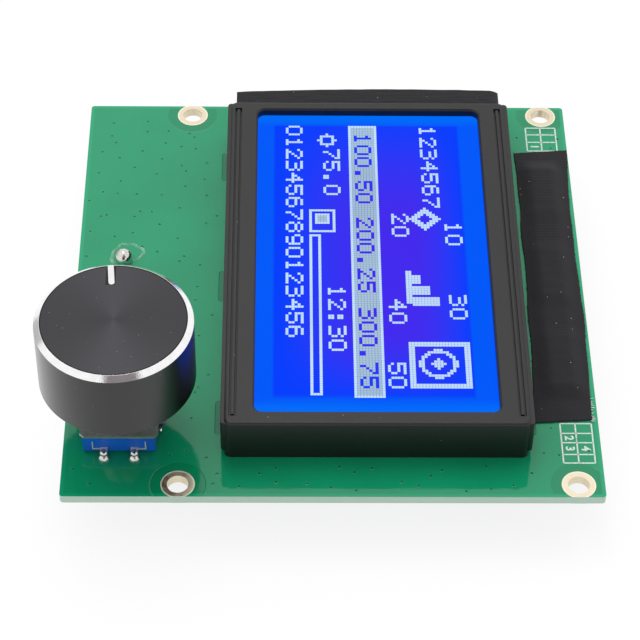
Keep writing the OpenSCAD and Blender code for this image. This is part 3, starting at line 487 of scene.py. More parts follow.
def acetate_cloth(look):
    """Acetate cloth tape: tight cross ribs with finer warp threads, worn flat in patches, and caught lint."""
    finish = Finish("acetate_cloth_black", {"Roughness": 0.8, "Specular IOR Level": 0.35, "Sheen Weight": 0.1,
                                            "Sheen Roughness": 0.5})
    add, even = finish.add, {"Detail Scale": 0.5}
    ribs = add("TexWave", finish.place, wave_scale(look.rib_spacing), 0.9, output="Fac", sockets=even,
               bands_direction="Y")
    warp = add("TexWave", finish.place, wave_scale(0.6 * look.rib_spacing), 1.2, output="Fac", sockets=even,
               bands_direction="X")
    weave = add("Mix", 0.35, ribs, warp)
    shown = add("Math", weave, finish.uneven(5.0, 0.2, 0.8), operation="MULTIPLY")
    shade = add("Mix", shown, look.cloth_colour, dimmed(look.cloth_colour, 0.6), **COLOURS)
    finish.give("Base Color", finish.dusted(shade, look.lint_colour, 1.3, 0.15, 0.5))
    finish.give("Normal", add("Bump", sockets={"Height": shown, "Distance": 0.06 * MM}))
    return finish.material


def bare_fibre(look):
    """Acetate fibres that the dye has left: dull white, a little grey in places."""
    finish = Finish("acetate_fibre_bare", {"Roughness": 0.7})
    finish.give("Base Color", finish.toned(0.6, look.fibre_colour, 0.8))
    return finish.material


def turned_aluminium(look):
    """Black anodised aluminium, turned and sealed: rings that stretch highlights, a bright cut edge, painted shade
    in the step and round the pointer, and a side painted darker than the top.
    """
    finish = Finish("anodised_aluminium_turned", {"Metallic": 1.0, "Anisotropic": 0.75,
                                                  "Anisotropic Rotation": 0.25, "Coat Roughness": 0.35})
    add, film = finish.add, look.film_colour
    facing = add("SeparateXYZ", add("NewGeometry", output="True Normal"), output="Z")
    on_top = add("Math", facing, 0.5, operation="GREATER_THAN")
    offset = add("VectorMath", finish.place, KNOB_AXIS, operation="SUBTRACT")
    off_x, off_y, off_z = (add("SeparateXYZ", offset, output=axis) for axis in "XYZ")
    radius = finish.from_axis(KNOB_AXIS)
    past_film = add("Math", radius, CUT_R - 0.06 * MM, operation="GREATER_THAN")
    cut = add("Math", on_top, past_film, operation="MULTIPLY")
    # Shade in the step below the cut edge and in the slot's gap round the pointer
    step = add("Math", radius, CUT_R - 0.18 * MM, 0.12 * MM, operation="COMPARE")
    half_slot = (POINTER_HIGH.x - POINTER_LOW.x) / 2 + 0.14 * MM
    slot = add("Math", off_x, middle(POINTER).x - KNOB_AXIS.x, half_slot, operation="COMPARE")
    ahead = add("Math", off_y, POINTER_LOW.y - KNOB_AXIS.y - 0.1 * MM, operation="GREATER_THAN")
    shaded = add("Math", add("Math", slot, ahead, step, operation="MULTIPLY_ADD"), 1.0, operation="MINIMUM")
    # The real grooves are finer; these are as coarse as they need to be to show
    run = add("Math", radius, off_z, operation="ADD")
    rings = add("TexNoise", run, per_mm(look.groove_spacing), noise_dimensions="1D")
    # Painted shade: the side's film is made much darker than the top's, which dims what the side mirrors
    side = add("Mix", rings, dimmed(film, 0.15), dimmed(film, 0.45), **COLOURS)
    face = add("Mix", rings, dimmed(film, 0.8), film, **COLOURS)
    dusty = finish.dusted(add("Mix", on_top, side, face, **COLOURS), look.dust_colour, 1.2, 0.12, 0.8)
    stepped = add("Mix", shaded, dusty, dimmed(film, 0.1), **COLOURS)
    finish.give("Base Color", add("Mix", cut, stepped, finish.toned(1.2, look.cut_colour, 0.93), **COLOURS))
    finish.give("Roughness", add("Mix", cut, add("Mix", on_top, 0.26, 0.36), 0.09))
    # The sealer has run off the top and stands thicker on the side
    finish.give("Coat Weight", add("Mix", on_top, 0.95, 0.5))
    finish.give("Tangent", add("Tangent", direction_type="RADIAL", axis="Z"))
    height = add("Mix", cut, rings, finish.uneven(0.25, 0.0, 0.6))
    finish.give("Normal", add("Bump", sockets={"Height": height, "Distance": 0.006 * MM}))
    return finish.material


def rolled_steel(look):
    """Zinc-plated steel sheet: long rolling marks under a dull grey-green plating."""
    finish = Finish("zinc_plated_steel", {"Metallic": 1.0})
    along = finish.add("VectorMath", finish.place, (1.0, 0.06, 1.0), operation="MULTIPLY")
    finish.give("Base Color", finish.toned(0.14, look.cover_colour, 0.78, along))
    finish.give("Roughness", finish.uneven(0.14, 0.4, 0.55, along))
    finish.grained(0.3, 0.006)
    return finish.material


def clear_sheet(name, tint, roughness):
    """Clear glass or acrylic: sees through, with faint streaks from its making."""
    finish = Finish(name, {"Transmission Weight": 1.0, "IOR": 1.5})
    finish.give("Roughness", finish.uneven(9.0, 0.6 * roughness, 1.4 * roughness))
    finish.give("Base Color", finish.toned(20.0, tint, 0.94))
    return finish.material


def flux_with_painted_glints():
    """Dried rosin flux: a thin, glassy, faintly milky film, made paler still by painted glints."""
    finish = Finish("rosin_flux_painted_glints", {"IOR": 1.5, "Roughness": 0.06, "Alpha": 0.4})
    # Pale mint colour: the flux's milky tone, brightened with painted glints
    finish.give("Base Color", finish.mottled(0.8, linear("#D6FFEC"), linear("#9FD8BC")))
    finish.grained(0.9, 0.06)
    return finish.material


def layered_silicone():
    """Contact strip of silicone rubber in thin layers, clear and carbon black by turns."""
    finish = Finish("silicone_layered", {"Roughness": 0.6})
    layers = finish.add("TexWave", finish.place, wave_scale(0.18), output="Fac", bands_direction="Y")
    finish.give("Base Color", finish.add("Mix", layers, linear("#2B2C30"), linear("#8E9096"), **COLOURS))
    return finish.material


def dress(material, *nodes):
    """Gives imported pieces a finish."""
    for node in nodes:
        frame["nodes"][node].material_slots[0].material = material


def put(name, data):
    """Puts an object with that data in the scene."""
    thing = bpy.data.objects.new(name, data)
    bpy.context.scene.collection.objects.link(thing)
    return thing


def add_piece(name, bm, materials, replaces=(), closed=True, crease=40):
    """Turns a bmesh into a piece that rides on the board; edges sharper than the crease angle stay sharp."""
    mesh = bpy.data.meshes.new(name)
    if closed:
        bmesh.ops.remove_doubles(bm, verts=bm.verts, dist=0.0001 * MM)
        bmesh.ops.recalc_face_normals(bm, faces=bm.faces)
    bm.to_mesh(mesh)
    bm.free()
    for material in materials:
        mesh.materials.append(material)
    mesh.shade_smooth()
    mesh.set_sharp_from_angle(angle=math.radians(crease))
    piece = put(name, mesh)
    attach(piece, "board")
    if replaces:
        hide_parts(*replaces)
    return piece


def lathe(bm, profile, centre, segments, zones=None, wobble=None):
    """Revolves (radius, height) points about an upright axis; wobble(angle) scales the radius."""
    rings = []
    for radius, height in profile:
        ring = []
        for k in range(segments if radius > 0 else 1):
            turn = 2 * math.pi * k / segments
            reach = radius * (wobble(turn) if wobble else 1.0)
            x, y = centre.x + reach * math.cos(turn), centre.y + reach * math.sin(turn)
            ring.append(bm.verts.new((x, y, height)))
        rings.append(ring)
    for band, (inner, outer) in enumerate(zip(rings, rings[1:])):
        for k in range(segments):
            nxt = (k + 1) % segments
            corners = [ring[i % len(ring)] for ring, i in ((inner, k), (inner, nxt), (outer, nxt), (outer, k))]
            face = bm.faces.new(list(dict.fromkeys(corners)))
            face.material_index = zones[band] if zones else 0


def lathe_mm(bm, profile, centre, level, segments, **more):
    """Revolves a profile that is in millimetres above a level."""
    lathe(bm, [(radius * MM, level + height * MM) for radius, height in profile], centre, segments, **more)


def bridge(bm, rings):
    """Closes the walls between rings of as many points, and gives back the faces."""
    faces = []
    for lower, upper in zip(rings, rings[1:]):
        for k in range(len(lower)):
            nxt = (k + 1) % len(lower)
            faces.append(bm.faces.new((lower[k], lower[nxt], upper[nxt], upper[k])))
    return faces


def grid(bm, columns, rows, place):
    """Open grid of quads; place(u, v) gives a point for u and v from 0 to 1."""
    verts = [[bm.verts.new(place(i / columns, j / rows)) for i in range(columns + 1)]
             for j in range(rows + 1)]
    for j in range(rows):
        for i in range(columns):
            bm.faces.new((verts[j][i], verts[j][i + 1], verts[j + 1][i + 1], verts[j + 1][i]))


def strip(bm, start, end, width, height, material_index=0):
    """Flat bar between two points that stands up from their plane by height."""
    along = (end - start).normalized()
    side = Vector((-along.y, along.x, 0)) * width / 2
    ring = [start - side, end - side, end + side, start + side]
    low = [bm.verts.new(p) for p in ring]
    high = [bm.verts.new(p + Vector((0, 0, height))) for p in ring]
    for face in [bm.faces.new(high), bm.faces.new(low[::-1])] + bridge(bm, [low, high]):
        face.material_index = material_index


def ring_line(bm, centre, radius, width):
    """Printed ring on the back of the board."""
    inner, outer, low = radius - width / 2, radius + width / 2, BACK - PRINT_T
    high = low + PRINT_T
    lathe(bm, [(inner, low), (inner, high), (outer, high), (outer, low), (inner, low)], centre, 72)


def hole_places():
    """Centres of the mounting holes, on the display face."""
    half_x, half_y = (HOLE_PATTERN[f"spacing_{axis}_mm"] * MM / 2 for axis in "xy")
    return [Vector((x * half_x, y * half_y, FACE)) for x in (-1, 1) for y in (-1, 1)]


def pin_places():
    """Centres of the header pins, on the display face."""
    places = []
    for centre in map(middle, HEADERS):
        for side in (-0.5, 0.5):
            for row in range(PIN_ROWS):
                along = (row - (PIN_ROWS - 1) / 2) * PIN_PITCH
                places.append(Vector((centre.x + side * PIN_PITCH, centre.y + along, FACE)))
    return places


def switch_places():
    """Centres of the encoder's switch terminals."""
    return [KNOB_AXIS + Vector((side * SWITCH_PITCH, -SWITCH_REACH, 0)) for side in (-0.5, 0.5)]


def signal_places():
    """Centres of the encoder's signal terminals."""
    return [KNOB_AXIS + Vector((step * SIGNAL_PITCH, SIGNAL_REACH, 0)) for step in (-1, 0, 1)]


def buzzer_pin_places():
    """Centres of the buzzer's pins, on the display face."""
    low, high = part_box("buzzer_pins")
    return [Vector((middle((low, high)).x, y, FACE)) for y in (low.y + LEAD_R, high.y - LEAD_R)]


def lead_places():
    """Centres of the backlight's leads, on the display face."""
    low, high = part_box("backlight_leads")
    return [Vector((x, middle((low, high)).y, FACE)) for x in (low.x + LEAD_R, high.x - LEAD_R)]


def cap_places():
    """Places of the three epoxy caps along the board."""
    return CAPS_LOW.y + CAP_R, (CAPS_LOW.y + CAPS_HIGH.y) / 2, CAPS_HIGH.y - CAP_R


def dot_field(look):
    """Low and high corner of the dots on the display face."""
    centre = middle(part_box("front_polariser")) + Vector((-look.shift_across, look.shift_along, 0))
    half = Vector((SCREEN_ROWS, SCREEN_COLUMNS, 0)) * look.dot_pitch / 2
    return centre - half, centre + half


def in_box(place, box, margin):
    """True if a place is over a box, or that near to it."""
    return (box[0].x - margin < place.x < box[1].x + margin
            and box[0].y - margin < place.y < box[1].y + margin)


# Plain digits on the display, six rows of five dots
SCREEN_COLUMNS, SCREEN_ROWS = 128, 64
DIGITS = {
    "0": ".###. #...# #...# #...# #...# .###.",
    "1": "..#.. .##.. ..#.. ..#.. ..#.. .###.",
    "2": ".###. #...# ...#. ..#.. .#... #####",
    "3": "####. ....# .###. ....# ....# ####.",
    "4": "...#. ..##. .#.#. ##### ...#. ...#.",
    "5": "##### #.... ####. ....# #...# .###.",
    "6": ".###. #.... ####. #...# #...# .###.",
    "7": "##### ....# ...#. ..#.. .#... .#...",
    "8": ".###. #...# .###. #...# #...# .###.",
    "9": ".###. #...# #...# .#### ....# .###.",
    ".": "..... ..... ..... ..... .##.. .##..",
    ":": "..... .##.. .##.. ..... .##.. .##..",
}
DIGIT_STEP = 6


def written(text, column, row):
    """Dots of a line of digits whose top left dot is at that column and row."""
    dots = set()
    for place, sign in enumerate(text):
        for y, line in enumerate(DIGITS.get(sign, "").split()):
            dots |= {(column + place * DIGIT_STEP + x, row + y) for x, mark in enumerate(line) if mark == "#"}
    return dots


def filled(left, top, right, bottom):
    """Dots of a full rectangle, both corners included."""
    return {(x, y) for x in range(left, right + 1) for y in range(top, bottom + 1)}


def framed(left, top, right, bottom):
    """Dots of a rectangle's outline."""
    return filled(left, top, right, bottom) - filled(left + 1, top + 1, right - 1, bottom - 1)


def circle(column, row, radius):
    """Dots of a circle's outline."""
    around = filled(column - radius, row - radius, column + radius, row + radius)
    return {(x, y) for x, y in around if abs(math.hypot(x - column, y - row) - radius + 0.5) < 0.6}


def diamond(column, row, radius):
    """Dots of a full diamond."""
    around = filled(column - radius, row - radius, column + radius, row + radius)
    return {(x, y) for x, y in around if abs(x - column) + abs(y - row) <= radius}


def lit_dots():
    """All lit dots: small gauges with readings, an inverted line, a level bar and a row of digits."""
    dots = written("1234567", 0, 7)
    dots |= written("10", 48, 0) | diamond(46, 12, 5) - diamond(46, 12, 2) | written("20", 44, 18)
    dots |= written("30", 82, 0) | filled(71, 18, 85, 19) | written("40", 84, 20)
    for bar, top in enumerate((15, 12, 9)):
        dots |= filled(73 + 5 * bar, top, 76 + 5 * bar, 17)
    dots |= framed(103, 0, 122, 19) | framed(104, 1, 121, 18) | circle(112, 10, 6) | diamond(112, 10, 2)
    dots |= written("50", 112, 21)
    dots |= filled(0, 28, 126, 37) - written("100.50 200.25 300.75", 4, 30)
    dots |= circle(7, 45, 3) | written("75.0", 12, 41) | framed(42, 43, 52, 51) | filled(44, 45, 48, 49)
    dots |= framed(54, 48, 125, 51) | written("12:30", 78, 40)
    dots |= written("01234567890123456", 0, 54)
    return {(x, y) for x, y in dots if 0 <= x < SCREEN_COLUMNS and 0 <= y < SCREEN_ROWS}


def lit_areas():
    """Dots inside the wide lit areas, which let less light through than their rims."""
    return filled(1, 29, 125, 36) | filled(45, 46, 47, 48)


class LOOKS_OT_board(bpy.types.Operator):
    """Finishes the circuit board and adds its vias, legend print and back-side tracks"""
    bl_idname = "display_board.board"
    bl_label = "Circuit board"

    def execute(self, context):
        look = context.scene.board_look
        dress(solder_mask(look), "circuit_board")
        dress(tinned_pad(context.scene.metal_look), "hole_plating")
        self.add_vias(look)
        self.add_tables(look)
        self.add_back(look)
        return {"FINISHED"}

    def add_vias(self, look):
        """Small filled vias scattered over the open parts of the display face."""
        draw = random.Random(11)
        covered = [BEZEL, TAPE, LAMP_TAPE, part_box("encoder_base")]
        holes, pins = hole_places(), buzzer_pin_places() + switch_places()
        pit, rim, sunk = look.via_width / 2, 0.8 * look.via_width, FACE - 0.02 * MM
        profile = [(0, sunk), (rim, sunk), (rim, FACE), (0.9 * rim, FACE + 0.02 * MM),
                   (pit, FACE + 0.025 * MM), (0.7 * pit, FACE + 0.01 * MM), (0, FACE + 0.004 * MM)]
        # Room round covering pieces and leads and inside the board's edge, and the share of places with a via
        off_pieces, off_pins, off_edge, share = 1.2 * MM, 4 * MM, 1 * MM, 0.8
        bm = bmesh.new()
        for column in range(int((BOARD_HIGH.x - BOARD_LOW.x) / look.via_spacing)):
            for row in range(int((BOARD_HIGH.y - BOARD_LOW.y) / look.via_spacing)):
                place = Vector((BOARD_LOW.x + (column + draw.uniform(0.1, 0.9)) * look.via_spacing,
                                BOARD_LOW.y + (row + draw.uniform(0.1, 0.9)) * look.via_spacing, FACE))
                kept = draw.random() < share and in_box(place, BOARD, -off_edge)
                near = (any(in_box(place, box, off_pieces) for box in covered)
                        or any((place - hole).xy.length < look.keepout + rim for hole in holes)
                        or any((place - pin).xy.length < off_pins for pin in pins))
                if kept and not near:
                    lathe(bm, profile, place, 14, [0, 0, 0, 0, 1, 1])
        add_piece("board_vias", bm, [covered_copper(look), via_pit(look)])

    def add_tables(self, look):
        """Printed tables of plain pin numbers beyond both ends of the header tape."""
        bm = bmesh.new()
        ink = legend_ink(look)
        self.print_table(bm, look, (29.5, 32.2, 35.0), (40.9, 39.05, 37.05, 34.7), {(2, 0): "1"})
        self.print_table(bm, look, (30.4, 32.9, 35.6), (-31.0, -33.1, -35.1, -37.6, -39.4),
                         {(1, 0): "2", (2, 0): "3", (2, 1): "4"})
        add_piece("legend_tables", bm, [ink])

    def print_table(self, bm, look, columns, rows, numbers):
        """Lines of one table, in millimetres, and plain numbers in some cells, to be read along the board."""
        ends = [((x, rows[-1]), (x, rows[0])) for x in columns]
        ends += [((columns[0], y), (columns[-1], y)) for y in rows]
        for start, end in ends:
            strip(bm, *(Vector((x * MM, y * MM, FACE)) for x, y in (start, end)), look.print_width, PRINT_T)
        for (row, column), text in numbers.items():
            x, y = (columns[column] + columns[column + 1]) / 2, (rows[row] + rows[row + 1]) / 2
            height = min(1.5, 0.8 * (rows[row] - rows[row + 1]))
            print_number(bm, text, Vector((x * MM, y * MM, FACE)), height * MM, -90)

    def add_back(self, look):
        """Tracks from the driver chips to the display's edges, and printed outlines, on the back."""
        tracks, prints = bmesh.new(), bmesh.new()
        for y in cap_places():
            cap = Vector((middle(CAPS).x, y, BACK))
            for side in (-1, 1):
                for step in range(-6, 7):
                    self.run_track(tracks, cap, side, step)
            ring_line(prints, cap, CAP_R + 0.6 * MM, look.print_width)
        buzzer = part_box("buzzer_case")
        ring_line(prints, middle(buzzer), (buzzer[1].x - buzzer[0].x) / 2 + 0.5 * MM, look.print_width)
        for header in HEADERS:
            self.print_outline(prints, header, look.print_width, 0.4 * MM)
        for node in ("chip_resistors", "chip_capacitors"):
            self.print_outline(prints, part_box(node), look.print_width, 1.4 * MM)
        add_piece("back_tracks", tracks, [covered_copper(look)])
        add_piece("legend_outlines", prints, [legend_ink(look)])

    def run_track(self, bm, cap, side, step):
        """One track out of a driver chip: out of its rim, aslant to its lane and straight to a via."""
        width, height, lane = 0.22 * MM, 0.03 * MM, 0.85 * MM
        low = Vector((0, 0, -height))
        turn = math.radians(step * 11)
        start = cap + Vector((side * math.cos(turn), math.sin(turn), 0)) * (CAP_R - 0.3 * MM)
        lane_y = cap.y + step * lane * 1.75
        bend = Vector((start.x + side * abs(lane_y - start.y), lane_y, cap.z))
        end = Vector((cap.x + side * (17.5 - 0.35 * abs(step)) * MM, lane_y, cap.z))
        if (bend - start).length > width:
            strip(bm, start + low, bend + low, width, height)
        strip(bm, bend + low, end + low, width, height)
        via = [(0, cap.z), (0.4 * MM, cap.z), (0.36 * MM, cap.z - height), (0, cap.z - 1.2 * height)]
        lathe(bm, via, end, 16)

    def print_outline(self, bm, box, width, margin):
        """Printed rectangle round a piece on the back."""
        left, right = box[0].x - margin, box[1].x + margin
        near, far = box[0].y - margin, box[1].y + margin
        corners = [Vector((x, y, BACK - PRINT_T)) for x, y in
                   ((left, near), (right, near), (right, far), (left, far))]
        for start, end in zip(corners, corners[1:] + corners[:1]):
            strip(bm, start, end, width, PRINT_T)


def print_number(bm, text, centre, height, turn):
    """Printed plain number, centred on a place and turned about the board's normal in degrees."""
    curve = bpy.data.curves.new("number", "FONT")
    curve.body = text
    curve.size = 1.35 * height
    curve.align_x = curve.align_y = "CENTER"
    curve.resolution_u = 3
    curve.offset = 0.04 * height
    curve.extrude = PRINT_HALF
    holder = bpy.data.objects.new("number", curve)
    mesh = holder.to_mesh()
    about = Matrix.Rotation(math.radians(turn), 4, "Z")
    mesh.transform(Matrix.Translation(centre + UP * PRINT_HALF) @ about)
    bm.from_mesh(mesh)
    holder.to_mesh_clear()
    bpy.data.objects.remove(holder)
    bpy.data.curves.remove(curve)


class LOOKS_OT_solder(bpy.types.Operator):
    """Builds the solder joints with wetted, hollow flanks, and the flux round the hand-soldered ball"""
    bl_idname = "display_board.solder"
    bl_label = "Solder"

    def execute(self, context):
        bm = bmesh.new()
        for place in pin_places():
            self.flank(bm, place, FACE, 1, foot=0.9, height=0.5, neck=0.46, segments=12)
        for place in switch_places():
            self.bead(bm, place)
        for place in switch_places() + signal_places():
            self.flank(bm, place, BACK, -1, foot=1.05, height=0.8, neck=0.5, segments=20)
        for place in lead_places():
            self.flank(bm, place, BACK, -1, foot=0.9, height=0.8, neck=0.4, segments=20)
        for place in buzzer_pin_places():
            self.ball(bm, place)
        bright = bare_metal("solder_reflowed", context.scene.metal_look.solder_colour, 0.13, 0.8, 0.02)
        add_piece("solder", bm, [bright], ["solder_joints"])
        self.add_flux()
        return {"FINISHED"}

    def flank(self, bm, place, level, way, foot, height, neck, segments):
        """Joint whose side sweeps in from a wide foot to the lead, up or down; sizes in millimetres."""
        shares = [k / 6 for k in range(7)]
        sweep = [(neck + (foot - neck) * (1 - t) ** 2.2, way * height * t) for t in shares]
        lathe_mm(bm, [(0, 0), *sweep, (0, way * (height + 0.06))], place, level, segments)

    def bead(self, bm, place):
        """Bead that has run down a switch terminal to its pad, and the drop left on the terminal's bend."""
        bead = [(0, 0), (0.96, 0), (0.95, 0.18), (0.9, 0.36),
                (0.8, 0.56), (0.64, 0.76), (0.4, 0.94), (0, 1.02)]
        drop = [(0, 0.42), (0.48, 0.46), (0.64, 0.7), (0.7, 1.0),
                (0.67, 1.3), (0.5, 1.52), (0.26, 1.64), (0, 1.68)]
        for profile, forward in ((bead, -0.15), (drop, 0.12)):
            lathe_mm(bm, profile, place + Vector((0, forward * MM, 0)), FACE, 28)

    def ball(self, bm, place):
        """Round ball of solder over a pin's end, with a nip where it meets the pad; sizes in millimetres."""
        radius, lift, foot, steps = 1.6, 0.75, 1.5, 16
        start = -math.asin(lift / radius)
        turns = [start + (math.pi / 2 - start) * k / steps for k in range(1, steps)]
        curve = [(radius * math.cos(turn), lift + radius * math.sin(turn)) for turn in turns]
        lathe_mm(bm, [(0, 0), (foot, 0), *curve, (0, lift + radius)], place, FACE, 40)

    def add_flux(self):
        """Dried flux round the far ball: a thin clear ridge that wanders, where the pool's rim dried."""
        place = max(buzzer_pin_places(), key=lambda pin: pin.y) + Vector((0.45, 1.7, 0)) * MM

        def wander(turn):
            return (1 + 0.16 * math.sin(2 * turn + 0.6) + 0.1 * math.sin(3 * turn + 2)
                    + 0.05 * math.sin(7 * turn))

        bm = bmesh.new()
        ridge = [(2.75, -0.02), (2.62, 0.12), (2.5, 0.16), (2.35, 0.08), (2.2, -0.02), (2.75, -0.02)]
        lathe_mm(bm, ridge, place, FACE, 64, wobble=wander)
        add_piece("flux_rim", bm, [flux_with_painted_glints()])


class LOOKS_OT_bezel(bpy.types.Operator):
    """Finishes the moulded bezel"""
    bl_idname = "display_board.bezel"
    bl_label = "Bezel"

    def execute(self, context):
        look = context.scene.plastic_look
        dress(moulded_plastic("abs_satin_black", look.bezel_colour, 0.38, 0.14, 0.01, look.dust_colour, 0.1),
              "bezel_frame")
        return {"FINISHED"}


class LOOKS_OT_screen(bpy.types.Operator):
    """Lights the display face and adds its dots"""
    bl_idname = "display_board.screen"
    bl_label = "Screen"

    def execute(self, context):
        look = context.scene.screen_look
        dress(lit_polariser(look), "front_polariser")
        high, level = dot_field(look)[1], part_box("front_polariser")[1].z
        side, dot_t = look.dot_pitch - look.dot_gap, 0.008 * MM
        half = Vector((0, side / 2, 0))
        areas = lit_areas()
        bm = bmesh.new()
        for column, row in sorted(lit_dots()):
            x, y = high.x - (row + 0.5) * look.dot_pitch, high.y - (column + 0.5) * look.dot_pitch
            centre = Vector((x, y, level))
            strip(bm, centre - half, centre + half, side, dot_t, int((column, row) in areas))
        lit = [lit_dot("liquid_crystal_lit_line", look.dot_colour),
               lit_dot("liquid_crystal_lit_area", look.area_colour)]
        add_piece("screen_dots", bm, lit)
        return {"FINISHED"}


class LOOKS_OT_stack(bpy.types.Operator):
    """Finishes the glass, films, light guide and lamps behind the display face"""
    bl_idname = "display_board.stack"
    bl_label = "Display stack"

    def execute(self, context):
        dress(clear_sheet("float_glass_polished", linear("#E2F0EE"), 0.02), "front_glass", "rear_glass")
        dress(clear_sheet("acrylic_cast_clear", linear("#EAF4F8"), 0.05), "light_guide")
        dress(moulded_plastic("polariser_film_grey", linear("#3A4048"), 0.25, 0.4, 0.004), "rear_polariser")
        dress(moulded_plastic("polyester_film_white", linear("#EDEFEC"), 0.6, 0.3, 0.006),
              "diffuser_film", "reflector_film")
        dress(moulded_plastic("polycarbonate_white", linear("#EFEDE6"), 0.45, 0.3, 0.01),
              "backlight_tray", "lamp_strip")
        dress(moulded_plastic("lamp_phosphor_yellow", linear("#F4DE7A"), 0.4, 0.1, 0.01), "backlight_lamps")
        dress(bare_metal("tinned_wire", context.scene.metal_look.solder_colour, 0.25, 0.3, 0.008),
              "backlight_leads", "buzzer_pins")
        dress(layered_silicone(), "zebra_strips")
        return {"FINISHED"}


class LOOKS_OT_tapes(bpy.types.Operator):
    """Lays the cloth tape over the soldered headers and over the lamp housing"""
    bl_idname = "display_board.tapes"
    bl_label = "Cloth tape"

    def execute(self, context):
        look = context.scene.tape_look
        cloth = acetate_cloth(look)
        self.lay_header_tape(cloth)
        self.lay_lamp_tape(cloth)
        self.fray_edges(look, cloth)
        return {"FINISHED"}

    def edge(self, side, y):
        """Serrated long edge of the header tape, a little askew: side is 0 on the left and 1 on the right."""
        along = y / MM
        share = (y - TAPE_LOW.y) / (TAPE_HIGH.y - TAPE_LOW.y)
        way, line = (1, TAPE_HIGH.x) if side else (-1, TAPE_LOW.x)
        # All in millimetres; the teeth of the shears are 0.45 apart, and the headers draw the edge in
        askew = -0.5 + 0.85 * share + 0.15 * way * share
        askew += 0.32 * math.sin(2 * math.pi * share) if side else 0.38 * math.sin(math.pi * share)
        drawn = 0.12 * max(smooth(8.6, 5.0, abs(along - middle(header).y / MM)) for header in HEADERS)
        sway = 0.16 * noise.noise((0.11 * along, 7.0 * side, 0.3))
        teeth = 0.28 * abs((along / 0.45 + 0.2 * math.sin(along)) % 1 - 0.5) - 0.1
        nicks = 0.07 * noise.noise((1.9 * along, 3.0 * side, 4.0))
        return line + (askew + sway + nicks + way * (teeth - drawn)) * MM

    def height(self, x, y):
        """Top of the header tape: a long, low tent over the headers' joints, with dips between them."""
        rows = [middle(header).y for header in HEADERS]
        tent = max(smooth(8.8 * MM, 5.0 * MM, abs(y - row)) for row in rows)
        if min(rows) < y < max(rows):
            tent = 0.7 + 0.3 * tent
        relief = tent * smooth(4.6 * MM, 1.5 * MM, abs(x - middle(HEADERS[0]).x))
        top = TAPE_T + relief * (TAPE_HIGH.z - FACE - TAPE_T - 0.05 * MM)
        bump_r, bump, bump_reach, ripple = 0.9 * MM, 0.04 * MM, 6, 0.03 * MM
        for pin in pin_places():
            away = ((x - pin.x) ** 2 + (y - pin.y) ** 2) / bump_r ** 2
            if away < bump_reach:
                top += bump * math.exp(-away)
        slack = noise.noise((x / (3.2 * MM), y / (4.5 * MM), 1.0))
        slack += 0.5 * noise.noise((x / MM, y / (1.6 * MM), 5.0))
        return top + ripple * (1 + slack)

    def lay_header_tape(self, cloth):
        """Tape over the headers, with a relief over each soldered pin."""
        def place(u, v):
            nip = 0.1 * MM * noise.noise((9.0 * u, 20.0 * round(v), 2.0)) if v in (0.0, 1.0) else 0.0
            y = TAPE_LOW.y + v * (TAPE_HIGH.y - TAPE_LOW.y) + nip + (0.65 + 0.25 * v) * MM * (u - 0.5)
            left, right = self.edge(0, y), self.edge(1, y)
            x = left + u * (right - left)
            return x, y, FACE + self.height(x, y)

        self.lay("header_tape_cloth", "header_tape", cloth, 44, 420, place)

    def lay_lamp_tape(self, cloth):
        """Tape from the bezel over the lamp housing to a foot on the board, bowed up in the middle."""
        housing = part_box("backlight_tray")[1]
        near, wall, top, outer = LAMP_TAPE_LOW.y + 0.1 * MM, housing.y, housing.z, housing.y + TAPE_T
        path = [(near, top + TAPE_T), (near + 0.5 * (wall - near), top + TAPE_T)]
        path += [(wall + TAPE_T * math.sin(a), top + TAPE_T * math.cos(a))
                 for a in (math.radians(15 * k) for k in range(7))]
        path += [(outer, FACE + 1.2 * MM), (outer + 0.15 * MM, FACE + TAPE_T + 0.2 * MM),
                 (outer + 0.5 * MM, FACE + TAPE_T), (LAMP_TAPE_HIGH.y, FACE + TAPE_T)]
        steps = [0.0]
        for start, end in zip(path, path[1:]):
            steps.append(steps[-1] + math.dist(start, end))
        width, corner_r, end_fall, wider = LAMP_TAPE_HIGH.x - LAMP_TAPE_LOW.x, 0.5 * MM, 1.8 * MM, 0.35 * MM

        def along(share):
            target = share * steps[-1]
            k = next(i for i in range(1, len(path)) if target <= steps[i] + 1e-12)
            t = (target - steps[k - 1]) / (steps[k] - steps[k - 1])
            return [a + t * (b - a) for a, b in zip(path[k - 1], path[k])]

        def place(u, v):
            y, z = along(v)
            bow = 1 - (2 * u - 1) ** 2
            ends = 1 - max(0.0, 1 - min(u, 1 - u) * width / end_fall) ** 2
            lift = smooth(FACE + 1 * MM, top, z)
            from_end = max(0.0, corner_r - steps[-1] * min(v, 1 - v))
            inset = corner_r - math.sqrt(corner_r ** 2 - from_end ** 2)
            left, right = LAMP_TAPE_LOW.x + inset, LAMP_TAPE_HIGH.x + wider - inset
            x = left + u * (right - left)
            if u in (0.0, 1.0):
                x += 0.08 * MM * noise.noise((60 * v, 9 * u, 1.0))
            crease = noise.noise((x / (2.5 * MM), 14 * v, 3.0))
            slack = (0.08 + 0.5 * u + 0.05 * crease) * ends
            return x, y + 0.12 * MM * bow * lift, z + lift * (slack + 0.4 * bow) * MM

        self.lay("lamp_tape_cloth", "backlight_tape", cloth, 150, 60, place)

    def lay(self, name, node, cloth, columns, rows, place):
        """Sheet over a packed tape, thickened downwards."""
        bm = bmesh.new()
        grid(bm, columns, rows, place)
        piece = add_piece(name, bm, [cloth], [node], closed=False)
        body = piece.modifiers.new("thickness", "SOLIDIFY")
        body.thickness = 0.8 * TAPE_T
        body.offset = -1.0

